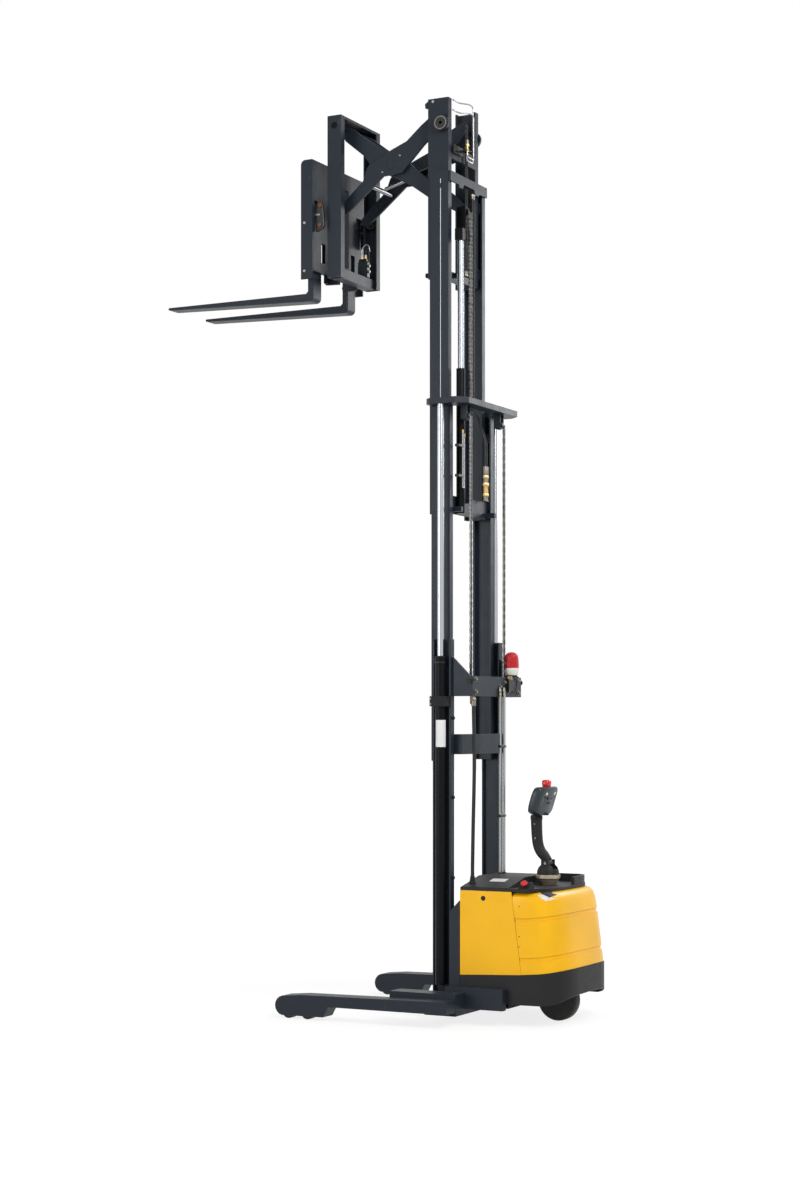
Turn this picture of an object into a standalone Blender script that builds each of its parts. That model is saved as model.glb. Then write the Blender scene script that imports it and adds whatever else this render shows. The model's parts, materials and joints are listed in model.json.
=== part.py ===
# Walkie pantograph reach stacker: straddle legs, three-stage mast, reach carriage and forks.
# Metres, +Z up, +X towards the fork tips, +Y to the truck's left, floor at Z = 0.
# The mast is modelled raised and the pantograph extended.

import math

import bmesh
import bpy
from mathutils import Matrix, Vector

# Clearances
SEAT = 0.0003
RUNNING_GAP = 0.005

# Mast rails: half width over the outer stage, wall sizes and how the stages nest
OUTER_HALF = 0.366
FLANGE = 0.012
WEB = 0.010
OUTER_GROOVE = 0.020
FRONT_STEP = 0.0365
BASE_TOP = 0.115

# Strokes of the three lift motions and the height of each stage's foot when lowered
MIDDLE_LIFT = 1.390
INNER_LIFT = 1.470
FREE_LIFT = 1.460
MIDDLE_LOW = 0.155
INNER_LOW = 0.165
CARRIAGE_LOW = 0.130

# Rail lengths
OUTER_TOP = 2.269
MIDDLE_LENGTH = 2.120
INNER_LENGTH = 2.055
CARRIAGE_LENGTH = 1.085

# Pantograph
ARM_HALF = 0.430
ARM_ANGLE = math.radians(36.5)
ARM_SWING = math.radians(37.5)
ARM_DEPTH = 0.074
ARM_PLATE = 0.018
PIN_RADIUS = 0.018
PIVOT_BELOW_TOP = 0.089
ARM_OUTER_FACE = 0.160
ARM_INNER_FACE = 0.130
SHAFT_ALONG = 0.620
TUBE_ALONG = 0.200
CYLINDER_BACK = 0.035
CYLINDER_DOWN = 0.228

# Reach frame and fork carriage
FRAME_HALF = 0.256
FRAME_WALL = 0.010
FRAME_WIDTH = 0.047
FRAME_DEPTH = 0.095
FRAME_ABOVE_PIVOT = 0.063
FRAME_HEIGHT = 0.995
TILT_GAP = 0.066
BACK_PLATE = 0.025
CARRIAGE_HALF = 0.330
CARRIAGE_HEIGHT = 0.733
FORK_LENGTH = 1.030
FORK_THICK = 0.040
FORK_WIDTH = 0.100
FORK_CENTRES = 0.440
FORK_DROP = 0.085

# Body behind the mast
DRIVE_BEHIND = 0.670
TAIL_OVERHANG = 0.200
TAIL_LENGTH = DRIVE_BEHIND + TAIL_OVERHANG
HOOD_FRONT = 0.208
HOOD_HALF = 0.400
SKIRT_LOW = 0.130
SKIRT_TOP = 0.288
HOOD_TOP = 0.786
LID_TOP = 0.858
PANEL = 0.006

# Wheels
DRIVE_RADIUS = 0.125
DRIVE_WIDTH = 0.075
LOAD_RADIUS = 0.0425
LOAD_WIDTH = 0.066
AXLE_RADIUS = 0.010

# Straddle legs
LEG_CENTRE = 0.635
LEG_WIDTH = 0.120
LEG_AHEAD = 0.885
LEG_BEHIND = 0.260
LEG_TOP = 0.160
LEG_LOW = 0.085

# Worked-out places
OUTER_FRONT = -0.010
CARRIAGE_DEPTH = 0.137
PIVOT_AHEAD = OUTER_FRONT + 3 * FRONT_STEP - CARRIAGE_DEPTH / 2
FORK_FACE_AHEAD = (
    PIVOT_AHEAD + 2 * ARM_HALF * math.cos(ARM_ANGLE)
    + FRAME_DEPTH / 2 + TILT_GAP + BACK_PLATE + SEAT + FORK_THICK
)
FORK_REACH = FORK_FACE_AHEAD + FORK_LENGTH
MAST_X = (TAIL_LENGTH - FORK_REACH) / 2
MIDDLE_BOTTOM = MIDDLE_LOW + MIDDLE_LIFT
INNER_BOTTOM = INNER_LOW + MIDDLE_LIFT + INNER_LIFT
CARRIAGE_BOTTOM = CARRIAGE_LOW + MIDDLE_LIFT + INNER_LIFT + FREE_LIFT


class Rail:
    """One upright's section and span; y values are distances from the centre plane."""

    def __init__(self, half, width, front, depth, bottom, top, groove=0.0):
        self.outer = half
        self.inner = half - width
        self.front = front
        self.rear = front - depth
        self.depth = depth
        self.bottom = bottom
        self.top = top
        self.web_outer = half - groove
        self.web_inner = half - groove - WEB
        self.centre = front - depth / 2

    def outline(self, side):
        """Section in the XY plane, web towards the outside, with an outer groove if it has one."""
        points = [
            (self.rear, self.inner),
            (self.rear + FLANGE, self.inner),
            (self.rear + FLANGE, self.web_inner),
            (self.front - FLANGE, self.web_inner),
            (self.front - FLANGE, self.inner),
            (self.front, self.inner),
            (self.front, self.outer),
        ]
        if self.web_outer < self.outer:
            points += [
                (self.front - FLANGE, self.outer),
                (self.front - FLANGE, self.web_outer),
                (self.rear + FLANGE, self.web_outer),
                (self.rear + FLANGE, self.outer),
            ]
        points.append((self.rear, self.outer))
        return [(x, side * y) for x, y in points]


def nested_rails():
    """The four nested rails, each a gap inside and a step ahead of the one that carries it."""
    # name, width, depth, bottom, top, groove
    table = [
        ("outer", 0.050, 0.120, BASE_TOP, OUTER_TOP, OUTER_GROOVE),
        ("middle", 0.047, 0.123, MIDDLE_BOTTOM, MIDDLE_BOTTOM + MIDDLE_LENGTH, 0.0),
        ("inner", 0.045, 0.124, INNER_BOTTOM, INNER_BOTTOM + INNER_LENGTH, 0.0),
        ("carriage", 0.044, CARRIAGE_DEPTH, CARRIAGE_BOTTOM, CARRIAGE_BOTTOM + CARRIAGE_LENGTH, 0.0),
    ]
    rails = {}
    half = OUTER_HALF
    front = MAST_X + OUTER_FRONT
    for name, width, depth, bottom, top, groove in table:
        rails[name] = Rail(half, width, front, depth, bottom, top, groove)
        half -= width + RUNNING_GAP
        front += FRONT_STEP
    return rails


RAILS = nested_rails()
OUTER = RAILS["outer"]
MIDDLE = RAILS["middle"]
INNER = RAILS["inner"]
CARRIAGE = RAILS["carriage"]
SIDES = [("left", 1), ("right", -1)]

# Pantograph points in the XZ plane
PIVOT = Vector((CARRIAGE.centre, 0, CARRIAGE.top - PIVOT_BELOW_TOP))
ARM_SPAN = ARM_HALF * math.cos(ARM_ANGLE)
ARM_RISE = ARM_HALF * math.sin(ARM_ANGLE)
CENTRE = PIVOT + Vector((ARM_SPAN, 0, -ARM_RISE))
FRAME_PIVOT = PIVOT + Vector((2 * ARM_SPAN, 0, 0))
OUTER_ROLLER = PIVOT + Vector((2 * ARM_SPAN, 0, -2 * ARM_RISE))
INNER_ROLLER = PIVOT + Vector((0, 0, -2 * ARM_RISE))
FRAME_FRONT = FRAME_PIVOT.x + FRAME_DEPTH / 2
FRAME_REAR = FRAME_FRONT - FRAME_DEPTH
FRAME_TOP = FRAME_PIVOT.z + FRAME_ABOVE_PIVOT
FRAME_BOTTOM = FRAME_TOP - FRAME_HEIGHT

collection = None
cutters = None
materials = {}
bodies = {}


def start_scene():
    """Empties the scene and makes the collections."""
    global collection, cutters
    for old in list(bpy.data.objects):
        bpy.data.objects.remove(old, do_unlink=True)
    collection = bpy.data.collections.new("pallet_stacker")
    cutters = bpy.data.collections.new("cutters")
    bpy.context.scene.collection.children.link(collection)
    bpy.context.scene.collection.children.link(cutters)


def make_materials():
    """One Principled material for each finish."""
    # name, colour, metallic, roughness
    table = [
        ("slate_paint", (0.045, 0.056, 0.075), 0.0, 0.42),
        ("black_paint", (0.018, 0.020, 0.024), 0.0, 0.5),
        ("yellow_paint", (0.86, 0.46, 0.02), 0.0, 0.35),
        ("black_plastic", (0.02, 0.021, 0.023), 0.0, 0.55),
        ("chrome_rod", (0.78, 0.79, 0.80), 1.0, 0.12),
        ("bare_steel", (0.42, 0.42, 0.41), 1.0, 0.35),
        ("zinc", (0.62, 0.52, 0.25), 1.0, 0.35),
        ("red_plastic", (0.62, 0.02, 0.015), 0.0, 0.3),
        ("pale_plastic", (0.72, 0.70, 0.64), 0.0, 0.5),
        ("grey_cast", (0.30, 0.30, 0.29), 0.8, 0.5),
        ("wheel_tread", (0.05, 0.045, 0.04), 0.0, 0.7),
        ("hose_rubber", (0.015, 0.015, 0.016), 0.0, 0.6),
    ]
    for name, colour, metallic, roughness in table:
        material = bpy.data.materials.new(name)
        material.use_nodes = True
        shader = material.node_tree.nodes["Principled BSDF"]
        shader.inputs["Base Color"].default_value = (*colour, 1.0)
        shader.inputs["Metallic"].default_value = metallic
        shader.inputs["Roughness"].default_value = roughness
        material.diffuse_color = (*colour, 1.0)
        materials[name] = material


def make_body(name, place, parent=None):
    """An empty on a joint's axis, which carries the pieces of one moving body."""
    empty = bpy.data.objects.new("body_" + name, None)
    collection.objects.link(empty)
    empty.location = place
    if parent:
        holder = bodies[parent]
        empty.parent = holder
        empty.location = Vector(place) - holder_place(holder)
    bodies[name] = empty


def holder_place(empty):
    """World place of an unrotated empty, summed along its parents."""
    place = Vector(empty.location)
    while empty.parent:
        empty = empty.parent
        place += empty.location
    return place


def piece(name, body, finish):
    """Names a finished solid, gives it its material and hangs it on its body."""
    solid = bpy.data.objects[name]
    solid.data.materials.clear()
    solid.data.materials.append(materials[finish])
    solid.parent = bodies[body]
    solid.location = -holder_place(bodies[body])
    return solid


def from_bmesh(name, mesh_data):
    """A new object from a bmesh, with its faces turned outwards."""
    bmesh.ops.recalc_face_normals(mesh_data, faces=mesh_data.faces[:])
    mesh = bpy.data.meshes.new(name)
    mesh_data.to_mesh(mesh)
    mesh_data.free()
    solid = bpy.data.objects.new(name, mesh)
    collection.objects.link(solid)
    return solid


def box(name, low, high):
    """A box between two corners."""
    size = Vector(high) - Vector(low)
    middle = (Vector(high) + Vector(low)) / 2
    data = bmesh.new()
    bmesh.ops.create_cube(data, size=1.0, matrix=Matrix.Translation(middle) @ Matrix.Diagonal((*size, 1)))
    return from_bmesh(name, data)


def rod(name, start, end, radius, end_radius=None, sides=20):
    """A round bar, or a cone, between two points."""
    start = Vector(start)
    end = Vector(end)
    run = end - start
    turn = run.to_track_quat("Z", "Y").to_matrix().to_4x4()
    data = bmesh.new()
    bmesh.ops.create_cone(
        data, cap_ends=True, segments=sides, radius1=radius,
        radius2=radius if end_radius is None else end_radius, depth=run.length,
        matrix=Matrix.Translation((start + end) / 2) @ turn,
    )
    solid = from_bmesh(name, data)
    smooth(solid)
    return solid


def cross_rod(name, centre, low_y, high_y, radius, sides=20):
    """A round bar along Y at a point of the XZ plane."""
    return rod(name, (centre.x, low_y, centre.z), (centre.x, high_y, centre.z), radius, sides=sides)


def smooth(solid):
    """Rounds the shading of turned faces and keeps the sharp edges."""
    solid.data.shade_smooth()
    solid.data.set_sharp_from_angle(angle=math.radians(35))


def bake(solid):
    """Replaces an object's mesh by what its modifiers make."""
    bpy.context.view_layer.update()
    graph = bpy.context.evaluated_depsgraph_get()
    mesh = bpy.data.meshes.new_from_object(solid.evaluated_get(graph))
    solid.modifiers.clear()
    old = solid.data
    solid.data = mesh
    bpy.data.meshes.remove(old)
    return solid


def flat_shape(name, outlines, low, high, plane="XY"):
    """A flat outline, with holes as further outlines, extruded between two levels."""
    curve = bpy.data.curves.new(name, "CURVE")
    curve.dimensions = "2D"
    curve.fill_mode = "BOTH"
    curve.extrude = (high - low) / 2
    for outline in outlines:
        spline = curve.splines.new("POLY")
        spline.points.add(len(outline) - 1)
        for point, (across, up) in zip(spline.points, outline):
            point.co = (across, up, 0, 1)
        spline.use_cyclic_u = True
    holder = bpy.data.objects.new(name + "_curve", curve)
    collection.objects.link(holder)
    middle = (low + high) / 2
    if plane == "XZ":
        turn = Matrix(((1, 0, 0, 0), (0, 0, 1, middle), (0, 1, 0, 0), (0, 0, 0, 1)))
    elif plane == "YZ":
        turn = Matrix(((0, 0, 1, middle), (1, 0, 0, 0), (0, 1, 0, 0), (0, 0, 0, 1)))
    else:
        turn = Matrix.Translation((0, 0, middle))
    bpy.context.view_layer.update()
    graph = bpy.context.evaluated_depsgraph_get()
    mesh = bpy.data.meshes.new_from_object(holder.evaluated_get(graph))
    data = bmesh.new()
    data.from_mesh(mesh)
    bmesh.ops.remove_doubles(data, verts=data.verts[:], dist=0.00005)
    bmesh.ops.transform(data, matrix=turn, verts=data.verts[:])
    bpy.data.meshes.remove(mesh)
    bpy.data.objects.remove(holder)
    return from_bmesh(name, data)


def turned(name, profile, foot, axis=(0, 0, 1), steps=24):
    """A closed profile of radius and height, turned about an axis that starts at foot."""
    mesh = bpy.data.meshes.new(name)
    points = [(radius, 0, height) for radius, height in profile]
    count = len(points)
    if profile[0][0] == 0:
        edges = [(i, i + 1) for i in range(count - 1)]
    else:
        edges = [(i, (i + 1) % count) for i in range(count)]
    mesh.from_pydata(points, edges, [])
    solid = bpy.data.objects.new(name, mesh)
    collection.objects.link(solid)
    screw = solid.modifiers.new("turn", "SCREW")
    screw.steps = steps
    screw.render_steps = steps
    screw.use_merge_vertices = True
    screw.merge_threshold = 0.00005
    bake(solid)
    turn = Vector(axis).to_track_quat("Z", "Y").to_matrix().to_4x4()
    data = bmesh.new()
    data.from_mesh(solid.data)
    bmesh.ops.transform(data, matrix=Matrix.Translation(foot) @ turn, verts=data.verts[:])
    bmesh.ops.recalc_face_normals(data, faces=data.faces[:])
    data.to_mesh(solid.data)
    data.free()
    smooth(solid)
    return solid


def combine(solid, tools, operation="UNION"):
    """Joins tools to a solid or cuts them from it, and removes the tools."""
    for tool in tools:
        step = solid.modifiers.new(operation.lower(), "BOOLEAN")
        step.operation = operation
        step.solver = "EXACT"
        step.object = tool
    bake(solid)
    for tool in tools:
        bpy.data.objects.remove(tool, do_unlink=True)
    data = bmesh.new()
    data.from_mesh(solid.data)
    bmesh.ops.remove_doubles(data, verts=data.verts[:], dist=0.00005)
    bmesh.ops.dissolve_degenerate(data, edges=data.edges[:], dist=0.00002)
    data.to_mesh(solid.data)
    data.free()
    return solid


def bevelled(solid, width, segments=1):
    """Breaks the sharp edges of a solid."""
    step = solid.modifiers.new("edge", "BEVEL")
    step.width = width
    step.segments = segments
    step.limit_method = "ANGLE"
    step.angle_limit = math.radians(50)
    return bake(solid)


def hose(name, points, radius, resolution=2):
    """A round hose or pipe through a list of points."""
    curve = bpy.data.curves.new(name, "CURVE")
    curve.dimensions = "3D"
    curve.bevel_depth = radius
    curve.bevel_resolution = resolution
    curve.use_fill_caps = True
    spline = curve.splines.new("POLY")
    spline.points.add(len(points) - 1)
    for point, place in zip(spline.points, points):
        point.co = (*place, 1)
    holder = bpy.data.objects.new(name + "_curve", curve)
    collection.objects.link(holder)
    bpy.context.view_layer.update()
    graph = bpy.context.evaluated_depsgraph_get()
    mesh = bpy.data.meshes.new_from_object(holder.evaluated_get(graph))
    data = bmesh.new()
    data.from_mesh(mesh)
    bmesh.ops.remove_doubles(data, verts=data.verts[:], dist=0.00005)
    bpy.data.meshes.remove(mesh)
    bpy.data.objects.remove(holder)
    solid = from_bmesh(name, data)
    smooth(solid)
    return solid


def mirrored(name, source):
    """A copy of a piece on the other side of the centre plane."""
    data = bmesh.new()
    data.from_mesh(source.data)
    bmesh.ops.transform(data, matrix=Matrix.Diagonal((1, -1, 1, 1)), verts=data.verts[:])
    solid = from_bmesh(name, data)
    smooth(solid)
    return solid


def arc(centre, radius, start, end, steps):
    """Points on an arc in a flat outline; angles in degrees."""
    points = []
    for step in range(steps + 1):
        angle = math.radians(start + (end - start) * step / steps)
        points.append((centre[0] + radius * math.cos(angle), centre[1] + radius * math.sin(angle)))
    return points


def sided(low, high, side):
    """A pair of distances from the centre plane as ordered Y values on one side."""
    return sorted((side * low, side * high))


# Mast

ROLLER_WIDTH = 0.020
ROLLER_END = 0.0015
STUB_RADIUS = 0.018
LOWER_ROLLER = 0.090
UPPER_ROLLER = 0.500
SHOWN_ROLLER = 0.158
BARREL_RADIUS = 0.032
LIFT_ROD_RADIUS = 0.020
BARREL_TOP = 2.158
ROD_LAP = 0.150
CLAMP_LOW = 1.870
CLAMP_HIGH = 1.930
CROSSBAR_LOW = 1.930
CROSSBAR_HIGH = 2.050
CROSSBAR_BACK = 0.250
CROSSBAR_PLATE = 0.015
GUSSET_RISE = 0.117
CHAIN_Y = 0.235
CHAIN_BACK = 0.200
CHAIN_WIDTH = 0.024
CHAIN_THICK = 0.012
LINK_PITCH = 0.038
LINK_WAIST = 0.0035
SHEAVE_RADIUS = 0.035
SHEAVE_DROP = 0.060
TOP_PLATE = 0.035
PLATE_BACK = 0.240
PLATE_BAR = 0.090
PLATE_HALF = 0.405
CROSS_HEIGHT = 0.109
CROSS_PLATE = 0.015
OUTRIGGER_TOP = 0.220



def chain_run(name, x, y, low, high):
    """A straight run of leaf chain: wide at the plates, waisted at each pin's gap."""
    count = 2 * round((high - low) / LINK_PITCH)
    left = []
    for index in range(count + 1):
        half = CHAIN_THICK / 2 - (LINK_WAIST if index % 2 else 0.0)
        left.append((x - half, low + (high - low) * index / count))
    right = [(2 * x - across, up) for across, up in reversed(left)]
    return flat_shape(name, [left + right], y - CHAIN_WIDTH / 2, y + CHAIN_WIDTH / 2, "XZ")


ROD_X = OUTER.centre
ROD_Y = OUTER.web_outer + BARREL_RADIUS + SEAT


def roller_pair(name, rail, carrier, side, heights):
    """Guide rollers on stubs, which run in the next rail's channel."""
    radius = carrier.depth / 2 - FLANGE - SEAT
    stub_start = rail.web_inner + WEB / 2
    disc_start = carrier.inner + 0.002
    tools = []
    for index, height in enumerate(heights):
        place = Vector((carrier.centre, 0, height))
        low, high = sided(stub_start, disc_start + 0.004, side)
        tools.append(cross_rod(f"{name}_stub{index}", place, low, high, STUB_RADIUS, 16))
        disc_end = min(disc_start + ROLLER_WIDTH - 0.002, carrier.web_inner - ROLLER_END)
        low, high = sided(disc_start, disc_end, side)
        tools.append(cross_rod(f"{name}_disc{index}", place, low, high, radius, 20))
    return tools


def build_uprights(stage, body, carrier=None, heights=(), finish="slate_paint"):
    """Both uprights of one stage, with their guide rollers."""
    rail = RAILS[stage]
    name = f"{stage}_upright_left"
    solid = flat_shape(name, [rail.outline(1)], rail.bottom, rail.top)
    tools = []
    if carrier:
        tools = roller_pair(name, rail, RAILS[carrier], 1, heights)
    if stage == "carriage":
        start = ARM_OUTER_FACE + 0.010
        tools.append(cross_rod(name + "_boss", PIVOT, start, rail.web_inner + WEB / 2, 0.038, 20))
    if tools:
        combine(solid, tools)
    if stage == "carriage":
        bore = cross_rod(name + "_bore", PIVOT, ARM_OUTER_FACE, rail.web_inner - SEAT, PIN_RADIUS + SEAT, 20)
        combine(solid, [bore], "DIFFERENCE")
    mirrored(f"{stage}_upright_right", solid)
    piece(name, body, finish)
    piece(f"{stage}_upright_right", body, finish)


def build_outer_mast():
    """Uprights, rear crossbar with gussets and chain anchors, and lift-cylinder barrels."""
    build_uprights("outer", "chassis")
    bar_front = MAST_X - CROSSBAR_BACK
    gusset = [
        (OUTER.rear - SEAT, CROSSBAR_HIGH + GUSSET_RISE),
        (bar_front, CROSSBAR_HIGH),
        (bar_front, CROSSBAR_LOW),
        (OUTER.rear - SEAT, CROSSBAR_LOW),
    ]
    gusset_low = OUTER.web_inner - 0.004
    gusset_high = OUTER.web_outer
    name = "outer_crossbar"
    solid = box(
        name, (bar_front - CROSSBAR_PLATE, -gusset_high, CROSSBAR_LOW),
        (bar_front + 0.002, gusset_high, CROSSBAR_HIGH),
    )
    tools = []
    for side_name, side in SIDES:
        low, high = sided(gusset_low, gusset_high, side)
        tools.append(flat_shape(f"{name}_gusset_{side_name}", [gusset], low, high, "XZ"))
        low, high = sided(CHAIN_Y - 0.016, CHAIN_Y + 0.016, side)
        tools.append(box(
            f"{name}_anchor_{side_name}", (bar_front, low, CROSSBAR_HIGH - 0.030),
            (MAST_X - CHAIN_BACK + 0.012, high, CROSSBAR_HIGH - 0.005),
        ))
    combine(solid, tools)
    piece(name, "chassis", "slate_paint")

    for side_name, side in SIDES:
        name = f"lift_barrel_{side_name}"
        place_y = side * ROD_Y
        solid = rod(name, (ROD_X, place_y, OUTRIGGER_TOP + SEAT), (ROD_X, place_y, BARREL_TOP), BARREL_RADIUS)
        collar = rod(
            name + "_collar", (ROD_X, place_y + side * 0.002, BARREL_TOP - 0.035),
            (ROD_X, place_y + side * 0.002, BARREL_TOP + 0.004), BARREL_RADIUS + 0.002,
        )
        low, high = sided(OUTER.outer + SEAT, ROD_Y + BARREL_RADIUS + 0.005, side)
        clamp = box(
            name + "_clamp", (OUTER.rear + 0.004, low, CLAMP_LOW), (OUTER.front - 0.004, high, CLAMP_HIGH),
        )
        combine(solid, [collar, clamp])
        bore = rod(
            name + "_bore", (ROD_X, place_y, BARREL_TOP - ROD_LAP - MIDDLE_LIFT - 0.020),
            (ROD_X, place_y, BARREL_TOP + 0.050), LIFT_ROD_RADIUS + SEAT,
        )
        combine(solid, [bore], "DIFFERENCE")
        piece(name, "chassis", "black_paint")


def build_middle_mast():
    """Uprights, top plate with chain sheaves, bottom crossbar and chrome rods."""
    heights = (MIDDLE.bottom + LOWER_ROLLER, MIDDLE.bottom + UPPER_ROLLER)
    build_uprights("middle", "middle_mast", "outer", heights)
    rear = MAST_X - PLATE_BACK
    bar_front = rear + PLATE_BAR
    outline = [
        (rear, -PLATE_HALF + 0.060), (rear, PLATE_HALF - 0.060), (rear + 0.060, PLATE_HALF),
        (MIDDLE.front - 0.030, PLATE_HALF), (MIDDLE.front, PLATE_HALF - 0.030),
        (MIDDLE.front, MIDDLE.inner + 0.002), (bar_front + 0.040, MIDDLE.inner + 0.002),
        (bar_front, MIDDLE.inner - 0.038), (bar_front, -MIDDLE.inner + 0.038),
        (bar_front + 0.040, -MIDDLE.inner - 0.002), (MIDDLE.front, -MIDDLE.inner - 0.002),
        (MIDDLE.front, -PLATE_HALF + 0.030), (MIDDLE.front - 0.030, -PLATE_HALF),
        (rear + 0.060, -PLATE_HALF),
    ]
    name = "middle_top_plate"
    low = MIDDLE.top + SEAT
    solid = flat_shape(name, [outline], low, low + TOP_PLATE)
    sheave_x = MAST_X - CHAIN_BACK + SHEAVE_RADIUS
    tools = []
    for side_name, side in SIDES:
        axle = Vector((sheave_x, 0, low - SHEAVE_DROP))
        start, end = sided(CHAIN_Y - 0.030, CHAIN_Y + 0.024, side)
        tools.append(cross_rod(f"{name}_axle_{side_name}", axle, start, end, 0.010, 12))
        start, end = sided(CHAIN_Y - 0.014, CHAIN_Y + 0.014, side)
        tools.append(cross_rod(f"{name}_sheave_{side_name}", axle, start, end, SHEAVE_RADIUS - 0.007, 20))
        for cheek, offset in enumerate((-0.026, 0.020)):
            start, end = sided(CHAIN_Y + offset, CHAIN_Y + offset + 0.006, side)
            tools.append(box(
                f"{name}_cheek_{side_name}{cheek}", (sheave_x - 0.022, start, low - SHEAVE_DROP - 0.020),
                (sheave_x + 0.022, end, low + 0.005),
            ))
    combine(solid, tools)
    piece(name, "middle_mast", "slate_paint")

    name = "middle_crossbar"
    bar_rear = MAST_X - 0.178
    bar_front = bar_rear + 0.026
    out = MIDDLE.outer - 0.002
    inn = MIDDLE.inner + 0.004
    outline = [
        (bar_rear, -out), (bar_rear, out), (MIDDLE.rear - SEAT, out), (MIDDLE.rear - SEAT, inn),
        (bar_front, inn), (bar_front, -inn), (MIDDLE.rear - SEAT, -inn), (MIDDLE.rear - SEAT, -out),
    ]
    flat_shape(name, [outline], MIDDLE.bottom + 0.040, MIDDLE.bottom + 0.160)
    piece(name, "middle_mast", "slate_paint")

    for side_name, side in SIDES:
        name = f"lift_rod_{side_name}"
        rod(
            name, (ROD_X, side * ROD_Y, BARREL_TOP - ROD_LAP), (ROD_X, side * ROD_Y, MIDDLE.top),
            LIFT_ROD_RADIUS,
        )
        piece(name, "middle_mast", "chrome_rod")
        name = f"lift_chain_{side_name}"
        chain_run(
            name, MAST_X - CHAIN_BACK, side * CHAIN_Y, CROSSBAR_HIGH - 0.005 + SEAT, MIDDLE.top - SHEAVE_DROP,
        )
        piece(name, "chassis", "zinc")


FREE_ROD_Y = 0.175
FREE_ROD_RADIUS = 0.0185
FREE_BARREL_RADIUS = 0.027
FREE_BARREL_TOP = INNER.bottom + 0.875
FREE_ROD_LAP = 0.120
FREE_CHAIN_Y = 0.115
FREE_SHEAVE_RADIUS = 0.045
FREE_SHEAVE_BACK = 0.0925
HEAD_LOW = INNER.bottom + 1.645
HEAD_SHEAVE_Z = HEAD_LOW + 0.180
CROSS_REAR = INNER.rear - CROSS_PLATE
FREE_ROD_X = CROSS_REAR - SEAT - FREE_BARREL_RADIUS
FREE_CHAIN_X = MAST_X - FREE_SHEAVE_BACK - FREE_SHEAVE_RADIUS


def build_inner_mast():
    """Uprights, two crossbars and the free-lift cylinder's barrel."""
    heights = (INNER.bottom + LOWER_ROLLER, INNER.bottom + UPPER_ROLLER)
    build_uprights("inner", "inner_mast", "middle", heights)
    half = INNER.outer - 0.002
    top = INNER.top
    name = "inner_top_crossbar"
    outline = [
        (-half, top), (-half, top - 0.062), (-0.150, top - 0.062), (-0.135, top - 0.078),
        (-0.085, top - 0.078), (-0.070, top - 0.050), (0.070, top - 0.050), (0.085, top - 0.078),
        (0.135, top - 0.078), (0.150, top - 0.062), (half, top - 0.062), (half, top),
    ]
    flat_shape(name, [outline], CROSS_REAR, INNER.rear - SEAT, "YZ")
    piece(name, "inner_mast", "slate_paint")
    name = "inner_bottom_crossbar"
    solid = box(name, (CROSS_REAR, -half, INNER.bottom), (INNER.rear - SEAT, half, INNER.bottom + CROSS_HEIGHT))
    tools = []
    for side_name, side in SIDES:
        low, high = sided(CHAIN_Y - 0.014, CHAIN_Y + 0.014, side)
        tools.append(box(
            f"{name}_lug_{side_name}", (MAST_X - 0.142, low, INNER.bottom + 0.010),
            (CROSS_REAR + 0.005, high, INNER.bottom + 0.040),
        ))
    tools.append(box(
        name + "_free_lug", (MAST_X - 0.146, FREE_CHAIN_Y - 0.014, INNER.bottom + 0.070),
        (CROSS_REAR + 0.005, FREE_CHAIN_Y + 0.014, INNER.bottom + 0.100),
    ))
    combine(solid, tools)
    piece(name, "inner_mast", "slate_paint")

    name = "free_lift_barrel"
    solid = rod(
        name, (FREE_ROD_X, FREE_ROD_Y, INNER.bottom + 0.004), (FREE_ROD_X, FREE_ROD_Y, FREE_BARREL_TOP),
        FREE_BARREL_RADIUS,
    )
    bore = rod(
        name + "_bore", (FREE_ROD_X, FREE_ROD_Y, FREE_BARREL_TOP - FREE_ROD_LAP - FREE_LIFT / 2 - 0.010),
        (FREE_ROD_X, FREE_ROD_Y, FREE_BARREL_TOP + 0.020), FREE_ROD_RADIUS + SEAT,
    )
    combine(solid, [bore], "DIFFERENCE")
    piece(name, "inner_mast", "black_paint")

    name = "free_lift_chain"
    chain_run(name, FREE_CHAIN_X, FREE_CHAIN_Y, INNER.bottom + 0.100 + SEAT, HEAD_SHEAVE_Z)
    piece(name, "inner_mast", "zinc")


def build_free_lift_head():
    """Chrome rod and crosshead, which carries the sheave of the free-lift chain."""
    name = "free_lift_rod"
    rod(
        name, (FREE_ROD_X, FREE_ROD_Y, FREE_BARREL_TOP - FREE_ROD_LAP), (FREE_ROD_X, FREE_ROD_Y, HEAD_LOW - SEAT),
        FREE_ROD_RADIUS,
    )
    piece(name, "free_lift_head", "chrome_rod")
    name = "crosshead"
    sheave_x = MAST_X - FREE_SHEAVE_BACK
    solid = box(
        name, (FREE_ROD_X - 0.026, FREE_ROD_Y - 0.030, HEAD_LOW), (FREE_ROD_X + 0.026, FREE_ROD_Y + 0.028, HEAD_LOW + 0.070),
    )
    axle = Vector((sheave_x, 0, HEAD_SHEAVE_Z))
    tools = [
        box(
            name + "_cheek", (sheave_x - 0.030, FREE_CHAIN_Y + 0.020, HEAD_LOW + 0.010),
            (sheave_x + 0.030, FREE_CHAIN_Y + 0.032, HEAD_SHEAVE_Z + 0.030),
        ),
        cross_rod(name + "_axle", axle, FREE_CHAIN_Y - 0.020, FREE_CHAIN_Y + 0.036, 0.012, 12),
        cross_rod(
            name + "_sheave", axle, FREE_CHAIN_Y - 0.014, FREE_CHAIN_Y + 0.014,
            FREE_SHEAVE_RADIUS - CHAIN_THICK / 2 - SEAT, 24,
        ),
    ]
    combine(solid, tools)
    piece(name, "free_lift_head", "black_paint")


# Reach carriage and pantograph

ARM_END = 0.030
SHAFT_RADIUS = 0.016
ROD_DRIFT = 0.012


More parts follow.
